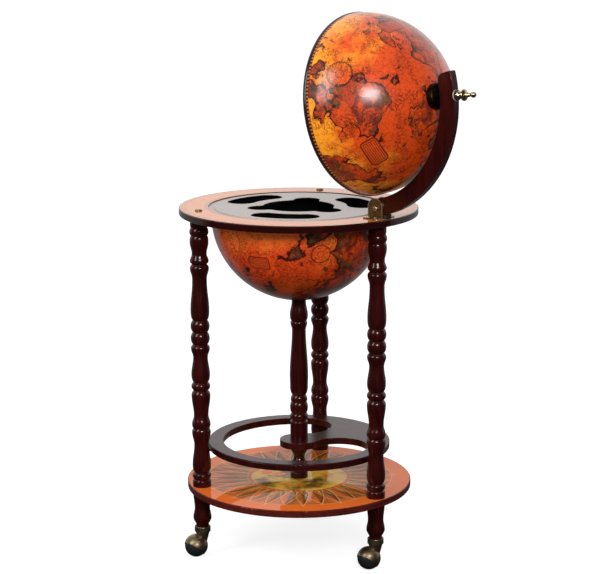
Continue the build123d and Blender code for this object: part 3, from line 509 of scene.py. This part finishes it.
def build_wood_grain():
    """Group: grain drawn out along Z, as a tint from 0 to 1 and a height for the pores."""
    graph, given, out = new_group("Wood grain", {"Place": "vector"}, {"Tint": "value", "Height": "value"})
    stretched = graph.vector("MULTIPLY", given["Place"], (1.0, 1.0, 0.07))
    streaks = graph.noise(stretched, 190.0, 4.0, 0.6, distortion=0.4)
    figure = graph.noise(stretched, 45.0, distortion=1.2)
    tint = graph.step(graph.plus(graph.product(streaks, 0.45), figure, 0.55), 0.32, 0.7)
    graph.feed(out["Tint"], tint)
    graph.feed(out["Height"], graph.patches(stretched, 420.0, 2.0, 0.5, 0.36, 0.5))


def build_patina():
    """Group: patina on old metal, as a mask for the tarnish and a height for its pits."""
    graph, given, out = new_group("Patina", {"Place": "vector"}, {"Tarnish": "value", "Height": "value"})
    clouds = graph.noise(given["Place"], 110.0, 5.0, 0.62)
    specks = graph.noise(given["Place"], 700.0, 2.0, 0.6)
    mixed = graph.plus(graph.product(clouds, 0.8), specks, 0.2)
    graph.feed(out["Tarnish"], graph.step(mixed, 0.25, 0.8))
    graph.feed(out["Height"], graph.plus(clouds, specks, 0.3))


def build_mottle():
    """Group: slight unevenness of a colour, as a number to multiply it by, spread evenly about 1."""
    graph, given, out = new_group(
        "Mottle", {"Place": "vector", "Scale": "value", "Roughness": "value", "Spread": "value"},
        {"Light": "value"})
    clouds = graph.noise(given["Place"], given["Scale"], 3.0, given["Roughness"])
    darkest = graph.outside(graph.product(given["Spread"], 0.5))
    graph.feed(out["Light"], graph.plus(darkest, clouds, given["Spread"]))


def build_sunburst():
    """Group: a printed sunburst on a round board, in rings and two-tone rays, in the board's plane."""
    colours = ("Ground", "Centre", "Leaf", "Rose", "Line", "Ink")
    graph, given, out = new_group(
        "Sunburst", {"Place": "vector", **dict.fromkeys(colours, "colour")}, {"Colour": "colour"})
    place = given["Place"]
    away, turn = graph.round_place(place)
    mottle = graph.noise(place, 34.0, 5.0, 0.6)
    band = graph.within(away, SUN_TICKS, SUN_BAND, 1.2)
    field = graph.blend(graph.step(mottle, 0.42, 0.58), given["Rose"], given["Leaf"])
    colour = graph.cover(given["Ground"], band, 0.7, field)
    pale, ink = [], []

    # Pointed rays: how many, the first one's angle, foot and tip radius, width at the foot, and two tints.
    for count, start, low, high, foot, light, dark in (
            (16, 1 / 32, SUN_TICKS, SUN_BAND, 0.5, given["Ground"], given["Leaf"]),
            (16, 0.0, SUN_TICKS, SUN_TIPS, 0.36, given["Rose"], given["Leaf"]),
            (32, 1 / 64, SUN_TICKS, SUN_SHORT, 0.3, given["Leaf"], given["Centre"])):
        across = graph.repeat(graph.math("ADD", turn, start), count)
        taper = graph.math("DIVIDE", graph.minus(high, away), high - low)
        inside = graph.minus(graph.product(taper, foot), graph.math("ABSOLUTE", across))
        half = graph.step(across, -0.02, 0.02)
        zone = graph.step(away, low - 0.8, low + 0.8)
        filled = graph.product(graph.step(inside, 0.0, 0.03), zone)
        colour = graph.cover(colour, filled, 0.7, graph.blend(half, light, dark))
        pale.append(graph.product(graph.line(inside, 0.01, 0.02), zone))
        ink.append(graph.product(graph.line_at(inside, 0.055, 0.012, 0.02), zone, half, 0.7))
    pale += [graph.line_at(away, radius, 0.5, 0.5) for radius in (SUN_BAND, SUN_TICKS, SUN_MIDDLE)]
    ticks = graph.product(graph.within(away, SUN_MIDDLE, SUN_TICKS, 0.4), graph.marks(turn, 60, 0.2, 0.08))
    ink.append(graph.product(ticks, 0.6))

    # The middle: clouds of leaf and ground colour, the second outlined in ink.
    middle = graph.step(away, SUN_MIDDLE + 1, SUN_MIDDLE - 1)
    clouds = graph.noise(place, 22.0, 5.0, 0.6)
    bloom = graph.blend(graph.patches(place, 16.0, 5.0, 0.5, 0.46, 0.62), given["Centre"], given["Leaf"])
    bloom = graph.blend(graph.step(clouds, 0.55, 0.64), bloom, given["Ground"])
    colour = graph.blend(middle, colour, bloom)
    ink.append(graph.product(middle, graph.line_at(clouds, 0.55, 0.006, 0.006), 0.5))

    stains = graph.patches(place, 60.0, 5.0, 0.7, 0.54, 0.7)
    ink.append(graph.product(stains, band, 0.5))
    colour = graph.cover(colour, graph.either(*pale), 0.65, given["Line"])
    colour = graph.cover(colour, graph.either(*ink), 0.7, given["Ink"])
    graph.feed(out["Colour"], graph.shaded(colour, graph.plus(0.9, mottle, 0.2)))


# ---- Materials ----
def new_material(name):
    """An empty node material: itself, its graph and its Principled shader."""
    material = bpy.data.materials.new(name)
    graph = empty_graph(material)
    shader = graph.add("ShaderNodeBsdfPrincipled")
    graph.add("ShaderNodeOutputMaterial", {"Surface": shader.outputs[0]})
    return material, graph, shader


def finish_surface(graph, shader, colour, roughness, **others):
    """Links or sets the Principled shader's inputs, by their names with underscores."""
    graph.feed(shader.inputs["Base Color"], colour)
    graph.feed(shader.inputs["Roughness"], roughness)
    for name, value in others.items():
        graph.feed(shader.inputs[name.replace("_", " ")], value)


def mottled(graph, colour, place, scale, roughness, spread):
    """A display colour made slightly uneven."""
    mottle = use_group(graph, "Mottle", {"Place": place, "Scale": scale, "Roughness": roughness,
                                         "Spread": spread})
    return graph.shaded(linear(colour), mottle["Light"])


def dress(material, *node_names):
    """Puts a material on CAD nodes in place of their plain one."""
    for name in node_names:
        slots = NODES[name].material_slots
        for number in range(len(slots)):
            slots[number].link = "OBJECT"
            slots[number].material = material
        if not slots:
            NODES[name].data.materials.append(material)


def stained_wood(name, coat, coat_roughness):
    """Dark stained wood under a clear lacquer."""
    wood = settings().wood
    material, graph, shader = new_material(name)
    grain = use_group(graph, "Wood grain", {"Place": graph.place()})
    colour = graph.blend(grain["Tint"], linear(wood.dark), linear(wood.warm))
    finish_surface(graph, shader, colour, 0.42, Coat_Weight=coat, Coat_IOR=1.5,
                   Coat_Roughness=coat_roughness, Specular_IOR_Level=0.1,
                   Specular_Tint=(1.0, 0.45, 0.4, 1.0), Normal=graph.bump(grain["Height"], 0.1 * MM, 0.12))
    return material


def globe_print(name, centre, tilt, layout, motifs, lining_colour, has_scale):
    """Lacquered map print outside and a plain lining inside, about the centre of one half of the globe.

    In the half's own frame its pole is on +Z: Object coordinates are moved to the centre and turned back.
    """
    printed = settings().print
    material, graph, shader = new_material(name)
    place = graph.place()
    local = graph.add("ShaderNodeMapping", {"Vector": place, "Location": centre,
                                            "Rotation": (0.0, tilt, 0.0)}, vector_type="TEXTURE").outputs[0]
    direction = graph.vector("NORMALIZE", local)
    map_inputs = {"Direction": direction, "Sea": linear(printed.sea), "Deep sea": linear(printed.sea_deep),
                  "Land": linear(printed.land), "Dark land": linear(printed.land_dark),
                  "Shore": linear(printed.shore), "Moss": linear(printed.moss), "Ink": linear(printed.ink)}
    colour = use_group(graph, "Antique map", {**map_inputs, **layout})["Colour"]
    for group, motif_centre, size in motifs:
        middle = Vector(motif_centre).normalized()
        across = middle.cross(Vector((0, 0, 1))).normalized()
        motif = use_group(graph, group, {"Direction": direction, "Centre": middle, "Across": across,
                                         "Size": size})
        colour = graph.cover(colour, motif["Fill"], 0.6, linear(printed.land))
        colour = graph.cover(colour, motif["Ink"], 0.85, linear(printed.ink))
    if has_scale:
        colour = degree_band(graph, local, colour)
    inside = graph.step(graph.vector("LENGTH", local), BOWL_RADIUS - 0.4 * GLOBE_WALL,
                        BOWL_RADIUS - 0.6 * GLOBE_WALL)
    colour = graph.blend(inside, colour, mottled(graph, lining_colour, place, 420.0, 0.7, 0.6))
    peel = graph.noise(place, 160.0, 2.0)
    finish_surface(graph, shader, colour, graph.plus(0.4, inside, 0.5), Coat_Weight=graph.outside(inside),
                   Coat_Roughness=0.22, Coat_IOR=1.42, Specular_IOR_Level=0.08,
                   Normal=graph.bump(peel, 0.2 * MM, 0.15))
    return material


def degree_band(graph, local, colour):
    """A printed scale next to the trim: a dark band with a light dash every two and a quarter degrees."""
    printed = settings().print
    x, y, z = graph.parts(local)
    height = graph.math("DIVIDE", z, MM)
    band = graph.within(height, *DEGREE_BAND, 0.2)
    dashes = graph.marks(graph.turn(x, y), 160, 0.22, 0.06)
    colour = graph.blend(band, colour, graph.blend(dashes, linear(printed.ink), linear(printed.board_rose)))
    return graph.cover(colour, graph.line_at(height, DEGREE_EDGE, 0.3, 0.2), 0.8, linear(printed.ink))


def printed_board(name, node, edge_colour, coat, lacquer_index, colour_of):
    """A board with a lacquered print on its top face and stained edges and underside."""
    top, radius = top_of(node), radius_of(node)
    wood = settings().wood
    material, graph, shader = new_material(name)
    place = graph.place()
    x, y, z = graph.parts(place)
    is_top = graph.product(graph.step(z, top - 0.6 * MM, top - 0.3 * MM),
                           graph.step(graph.length(x, y), radius - 1.6 * MM, radius - 2.2 * MM))
    grain = use_group(graph, "Wood grain", {"Place": graph.together(x, z, y)})
    edge = graph.blend(graph.plus(0.45, grain["Tint"], 0.55), linear(wood.dark), linear(edge_colour))
    finish_surface(graph, shader, graph.blend(is_top, edge, colour_of(graph, place)), 0.4, Coat_Weight=coat,
                   Coat_Roughness=0.05, Coat_IOR=lacquer_index, Specular_IOR_Level=0.0)
    return material


def ring_print(graph, place):
    """The ring's print: a warm ground with a fine scale near the hole and a ring of dots near the edge."""
    printed = settings().print
    away, turn = graph.round_place(place)
    mottle = graph.patches(place, 30.0, 5.0, 0.6, 0.3, 0.7)
    colour = graph.cover(linear(printed.ring), mottle, 0.35, linear(printed.sea_deep))
    lines = (graph.line_at(away, radius, 0.3, 0.3) for radius in (*RING_SCALE, *RING_DOTS))
    ticks = graph.product(graph.within(away, *RING_SCALE, 0.3), graph.marks(turn, 180, 0.24, 0.05))
    dots = graph.product(graph.within(away, *RING_DOTS, 0.3), graph.marks(turn, 72, 0.12, 0.05))
    return graph.cover(colour, graph.either(ticks, dots, *lines), 0.6, linear(printed.ink))


def shelf_print(graph, place):
    """The shelf's print: the sunburst group in the print colours."""
    printed = settings().print
    return use_group(graph, "Sunburst", {
        "Place": place, "Ground": linear(printed.board), "Centre": linear(printed.board_centre),
        "Leaf": linear(printed.board_leaf), "Rose": linear(printed.board_rose),
        "Line": linear(printed.board_line), "Ink": linear(printed.ink)})["Colour"]


def patinated(graph, shader, patina, colour, roughness):
    """Finishes a metal surface that is duller and pitted where it has tarnished."""
    finish_surface(graph, shader, colour, graph.plus(roughness, patina["Tarnish"], 0.14), Metallic=1.0,
                   Normal=graph.bump(patina["Height"], 0.08 * MM, 0.5))


def old_metal(name, bright, dark, roughness):
    """Metal with patina, from its rubbed colour to its tarnished one."""
    material, graph, shader = new_material(name)
    patina = use_group(graph, "Patina", {"Place": graph.place()})
    colour = graph.blend(patina["Tarnish"], linear(bright), linear(dark))
    patinated(graph, shader, patina, colour, roughness)
    return material


def hinge_brass():
    """Antique brass of the hinge's round-topped ears, with a painted highlight of bright brass along their
    outline.

    The distance in from the outline is an ear's half width less the distance from its upright middle line,
    which ends at the centre of its round top.
    """
    metal = settings().metal
    low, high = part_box("hinge_bracket_near")
    half_width = (high.x - low.x) / 2
    material, graph, shader = new_material("Hinge brass")
    place = graph.place()
    x, y, z = graph.parts(place)
    across = graph.minus(x, (low.x + high.x) / 2)
    above = graph.math("MAXIMUM", graph.minus(z, high.z - half_width), 0.0)
    inward = graph.minus(half_width, graph.length(across, above))
    patina = use_group(graph, "Patina", {"Place": place})
    colour = graph.blend(patina["Tarnish"], linear(metal.brass), linear(metal.tarnish))
    # Painted highlight: a band of bright brass along each ear's outline, standing in for the glint its
    # edges would catch.
    painted_edge_highlight = graph.step(inward, 1.8 * MM, 0.5 * MM)
    patinated(graph, shader, patina, graph.cover(colour, painted_edge_highlight, 0.85, linear(metal.bright_brass)), 0.28)
    return material


def plastic(name, colour, roughness, grain_scale, grain_depth):
    """Moulded plastic or rubber with a fine grain and slight mottling."""
    material, graph, shader = new_material(name)
    place = graph.place()
    grain = graph.noise(place, grain_scale, 3.0, 0.6)
    finish_surface(graph, shader, mottled(graph, colour, place, 40.0, 0.5, 0.16),
                   graph.plus(roughness, grain, 0.12), Normal=graph.bump(grain, grain_depth, 0.5))
    return material


def tray_moulding():
    """Glossy grey moulding on its top face and outer step, near black on its holes' sides and below."""
    metal = settings().metal
    material, graph, shader = new_material("Tray moulding")
    place = graph.place()
    x, y, z = graph.parts(place)
    top_face = graph.step(z, RING_TOP - 0.9 * MM, RING_TOP - 0.4 * MM)
    outer_step = graph.product(graph.step(graph.length(x, y), TRAY_RADIUS - 14 * MM, TRAY_RADIUS - 13 * MM),
                               graph.step(z, RING_TOP - 3.5 * MM, RING_TOP - 2.5 * MM))
    colour = graph.blend(graph.either(top_face, outer_step), linear(metal.tray_shade),
                         mottled(graph, metal.tray, place, 60.0, 0.5, 0.12))
    grain = graph.noise(place, 900.0, 3.0, 0.6)
    finish_surface(graph, shader, colour, graph.plus(0.22, grain, 0.12),
                   Normal=graph.bump(grain, 0.08 * MM, 0.4))
    return material


# ---- Operators ----
class GLOBEBAR_OT_groups(bpy.types.Operator):
    """Build the shared patterns: compass rose, panel, map, wood grain, patina, mottling and sunburst"""
    bl_idname = "globebar.groups"
    bl_label = "Shared patterns"

    def execute(self, context):
        build_compass_rose()
        build_map_panel()
        build_antique_map()
        build_wood_grain()
        build_patina()
        build_mottle()
        build_sunburst()
        return {"FINISHED"}


class GLOBEBAR_OT_globe(bpy.types.Operator):
    """Print and lacquer the two halves of the globe and its trim"""
    bl_idname = "globebar.globe"
    bl_label = "Globe"

    def execute(self, context):
        metal, printed = settings().metal, settings().print
        # Each motif's group, the way to its centre from the globe's, and its size in globe radii.
        lid_motifs = (("Compass rose", (-0.35, -0.82, 0.42), 0.15), ("Map panel", (0.5, -0.62, 0.6), 0.16),
                      ("Compass rose", (0.8, 0.2, 0.5), 0.12), ("Compass rose", (-0.6, 0.6, 0.5), 0.16),
                      ("Map panel", (-0.75, -0.1, 0.55), 0.15))
        bowl_motifs = (("Map panel", (0.2, -0.85, -0.42), 0.13), ("Compass rose", (0.78, -0.5, -0.3), 0.12),
                       ("Compass rose", (-0.7, -0.5, -0.3), 0.12), ("Map panel", (-0.5, 0.75, -0.4), 0.14))
        lid_layout = {"Shift": (15.0, 4.0, 9.0), "Redness": 0.0, "Painted shade": 0.0,
                      "Land scale": printed.lid_lands}
        # Painted shade on the bowl: its print is darkened towards the bottom pole, which faces away from
        # the light.
        bowl_layout = {"Shift": (7.0, 3.0, 2.0), "Redness": 0.1, "Painted shade": 0.55,
                       "Land scale": printed.bowl_lands, "Sea": linear(printed.bowl_sea),
                       "Deep sea": linear(printed.bowl_deep)}
        dress(globe_print("Lid print", LID_CENTRE, LID_TILT, lid_layout, lid_motifs, LID_LINING, True),
              "lid_shell")
        dress(globe_print("Bowl print", BOWL_CENTRE, 0.0, bowl_layout, bowl_motifs, BOWL_LINING, False),
              "bowl_shell")
        dress(plastic("Rim trim", metal.trim, 0.12, 300.0, 0.05 * MM), "lid_rim_trim")
        return {"FINISHED"}


class GLOBEBAR_OT_boards(bpy.types.Operator):
    """Print and lacquer the ring and the shelf"""
    bl_idname = "globebar.boards"
    bl_label = "Boards"

    def execute(self, context):
        wood = settings().wood
        ring = printed_board("Ring print", "ring_table", wood.ring_edge, 1.0, 1.65, ring_print)
        shelf = printed_board("Shelf print", "shelf", wood.shelf_edge, 0.6, 1.5, shelf_print)
        dress(ring, "ring_table")
        dress(shelf, "shelf")
        return {"FINISHED"}


class GLOBEBAR_OT_wood(bpy.types.Operator):
    """Stain and lacquer the turned legs, feet and spindles, the arm and the bottle rack"""
    bl_idname = "globebar.wood"
    bl_label = "Stained wood"

    def execute(self, context):
        wood = settings().wood
        dress(stained_wood("Turned wood", 0.55, wood.lacquer_roughness),
              *named("leg_", "foot_", "spindle_"))
        dress(stained_wood("Arm wood", 0.5, wood.lacquer_roughness), "arm")
        dress(stained_wood("Rack wood", 0.5, wood.rack_roughness), "bottle_rack", "rack_dowels", "rack_peg")
        return {"FINISHED"}


class GLOBEBAR_OT_fittings(bpy.types.Operator):
    """Age the brass, paint the hub and mould the tray, balls and washers"""
    bl_idname = "globebar.fittings"
    bl_label = "Fittings"

    def execute(self, context):
        metal = settings().metal
        dress(hinge_brass(), "hinge_bracket_near", "hinge_bracket_far")
        dress(tray_moulding(), "tray_insert")
        # Metals: bright and tarnished colour, roughness, and the nodes.
        for name, bright, dark, roughness, nodes in (
                ("Antique brass", metal.brass, metal.tarnish, 0.26, ["bolt_caps"]),
                ("Caster bronze", metal.bronze, metal.tarnish, 0.34, named("caster_hood", "caster_socket")),
                ("Bright brass", metal.bright_brass, metal.brass, 0.14,
                 ["finial", "arm_bushing", "hinge_pin", "hinge_screws"]),
                ("Hub metal", metal.hub, HUB_TARNISH, 0.34, ["pole_hub", "hub_ring_nut"]),
                ("Zinc plate", ZINC, ZINC_SHADE, 0.25,
                 ["pole_stud", "stud_nut", "ring_bolts", "shelf_studs", "bowl_screw", "bowl_washer",
                  "shelf_screw", *named("caster_stem", "caster_axle")])):
            dress(old_metal(name, bright, dark, roughness), *nodes)
        # Plastics: colour, roughness, scale and depth of the grain, and the nodes.
        for name, colour, roughness, grain_scale, grain_depth, nodes in (
                ("Nylon", NYLON, 0.35, 500.0, 0.05 * MM, ["finial_washer", "hinge_washers"]),
                ("Rubber", RUBBER, 0.6, 600.0, 0.1 * MM, ["finial_ring", "stop_block"]),
                ("Ball moulding", metal.ball, 0.3, 700.0, 0.1 * MM, named("caster_wheel"))):
            dress(plastic(name, colour, roughness, grain_scale, grain_depth), *nodes)
        return {"FINISHED"}


class GLOBEBAR_OT_studio(bpy.types.Operator):
    """Set up the floor, the lights, the world and the camera"""
    bl_idname = "globebar.studio"
    bl_label = "Studio"

    def execute(self, context):
        studio = settings().studio
        make_floor(studio)
        make_world(studio)
        softbox("Key light", studio.key_power, size=(1.0, 0.62), bearing=math.radians(-41),
                elevation=math.radians(24.5), distance=3.2)
        softbox("Side light", studio.side_power, size=(0.8, 1.6), bearing=math.radians(-101),
                elevation=math.radians(30), distance=2.8)
        make_camera(studio)
        context.scene.view_settings.view_transform = "Standard"
        return {"FINISHED"}


def backdrop(studio):
    """Level direction away from the camera, where the studio's backdrop is."""
    return (-math.sin(studio.camera_bearing), math.cos(studio.camera_bearing), 0.0)


def new_object(name, data):
    """An object in the scene, at the origin."""
    made = bpy.data.objects.new(name, data)
    bpy.context.scene.collection.objects.link(made)
    return made


def make_floor(studio):
    """Pale floor: it shows nearly white, keeps the object's shadow, and is reflected from behind only."""
    corners = np.array([(-1, -1, 0), (1, -1, 0), (1, 1, 0), (-1, 1, 0)], float) * FLOOR_HALF_SIDE
    mesh = bpy.data.meshes.new("Floor")
    mesh.from_pydata(corners.tolist(), [], [(0, 1, 2, 3)])
    new_object("Floor", mesh)
    material = bpy.data.materials.new("Floor paint")
    graph = empty_graph(material)
    path = graph.add("ShaderNodeLightPath").outputs
    seen = graph.either(path["Is Camera Ray"], path["Is Transmission Ray"])
    behind = graph.step(graph.vector("DOT_PRODUCT", graph.place(), backdrop(studio)), -0.1, 1.2)
    bounced = graph.blend(path["Is Glossy Ray"], grey(FLOOR_BOUNCE), grey(FLOOR_IN_GLOSS))
    paint = graph.add("ShaderNodeBsdfDiffuse", {"Color": graph.blend(seen, bounced, grey(FLOOR_SEEN))})
    glow = graph.add("ShaderNodeEmission", {"Color": grey(1.0), "Strength": graph.math(
        "ADD", graph.product(seen, FLOOR_GLOW),
        graph.product(path["Is Glossy Ray"], behind, FLOOR_GLOW_IN_GLOSS))})
    both = graph.add("ShaderNodeAddShader", {0: paint.outputs[0], 1: glow.outputs[0]})
    graph.add("ShaderNodeOutputMaterial", {"Surface": both.outputs[0]})
    mesh.materials.append(material)


def make_world(studio):
    """White behind the object for the camera and for reflections, and a fill strongest from above."""
    world = bpy.data.worlds.new("Studio")
    bpy.context.scene.world = world
    graph = empty_graph(world)
    path = graph.add("ShaderNodeLightPath").outputs
    direction = graph.add("ShaderNodeTexCoord").outputs["Generated"]
    upward = graph.parts(direction)[2]
    behind = graph.step(graph.vector("DOT_PRODUCT", direction, backdrop(studio)), -0.1, 0.5)
    overhead = graph.step(upward, 0.55, 1.0)
    reflected = graph.math("ADD", REST_IN_GLOSS, graph.either(graph.product(behind, BACKDROP_IN_GLOSS),
                                                              graph.product(overhead, CEILING_IN_GLOSS)))
    fill = graph.product(studio.fill, graph.plus(0.75, upward, 0.5))
    glossy = path["Is Glossy Ray"]
    light = graph.math("ADD", graph.product(glossy, reflected), graph.product(graph.outside(glossy), fill))
    shown = graph.either(path["Is Camera Ray"], path["Is Transmission Ray"])
    strength = graph.either(shown, graph.product(light, graph.outside(shown)))
    background = graph.add("ShaderNodeBackground", {"Color": grey(1.0), "Strength": strength})
    graph.add("ShaderNodeOutputWorld", {"Surface": background.outputs[0]})


def softbox(name, power, size, bearing, elevation, distance):
    """An oblong area light aimed at the middle of the object, its bearing measured from +X towards +Y."""
    low, high = CAD_BOX
    middle = (low + high) / 2
    out = Vector((math.cos(bearing) * math.cos(elevation), math.sin(bearing) * math.cos(elevation),
                  math.sin(elevation)))
    data = bpy.data.lights.new(name, "AREA")
    data.energy = power
    data.shape = "RECTANGLE"
    data.size, data.size_y = size
    light = new_object(name, data)
    light.location = middle + out * distance
    light.rotation_euler = out.to_track_quat("Z", "Y").to_euler()


def make_camera(studio):
    """Camera on a circle round the globe's axis, pitched down on the ring."""
    data = bpy.data.cameras.new("Camera")
    data.sensor_width = 36.0
    data.lens = studio.lens
    data.clip_end = 5 * FLOOR_HALF_SIDE
    camera = new_object("Camera", data)
    bearing = studio.camera_bearing
    place = Vector((math.sin(bearing) * studio.camera_distance, -math.cos(bearing) * studio.camera_distance,
                    studio.camera_height))
    camera.matrix_world = (
        Matrix.Translation(place) @ Matrix.Rotation(bearing + studio.camera_yaw, 4, "Z")
        @ Matrix.Rotation(math.pi / 2 - studio.camera_pitch, 4, "X")
        @ Matrix.Rotation(studio.camera_roll, 4, "Z"))
    bpy.context.scene.camera = camera


class GlobeBarSettings(bpy.types.PropertyGroup):
    """All the settings of the globe bar."""
    print: PointerProperty(type=PrintSettings, name="Print")
    wood: PointerProperty(type=WoodSettings, name="Wood")
    metal: PointerProperty(type=MetalSettings, name="Metal and plastic")
    studio: PointerProperty(type=StudioSettings, name="Studio")


STEPS = (GLOBEBAR_OT_groups, GLOBEBAR_OT_globe, GLOBEBAR_OT_boards, GLOBEBAR_OT_wood, GLOBEBAR_OT_fittings,
         GLOBEBAR_OT_studio)


class GLOBEBAR_PT_panel(bpy.types.Panel):
    """Lists the settings and the steps"""
    bl_idname = "GLOBEBAR_PT_panel"
    bl_label = "Globe bar"
    bl_space_type = "VIEW_3D"
    bl_region_type = "UI"
    bl_category = "Globe bar"

    def draw(self, context):
        for group in (settings().print, settings().wood, settings().metal, settings().studio):
            box = self.layout.box()
            for name in group.__annotations__:
                box.prop(group, name)
        for step in STEPS:
            self.layout.operator(step.bl_idname)


CLASSES = (PrintSettings, WoodSettings, MetalSettings, StudioSettings, GlobeBarSettings, *STEPS,
           GLOBEBAR_PT_panel)


def register():
    for cls in CLASSES:
        bpy.utils.register_class(cls)
    bpy.types.Scene.globe_bar = PointerProperty(type=GlobeBarSettings)


def unregister():
    del bpy.types.Scene.globe_bar
    for cls in reversed(CLASSES):
        bpy.utils.unregister_class(cls)


def main():
    register()
    for step in STEPS:
        area, name = step.bl_idname.split(".")
        getattr(getattr(bpy.ops, area), name)()


if __name__ == "__main__":
    main()
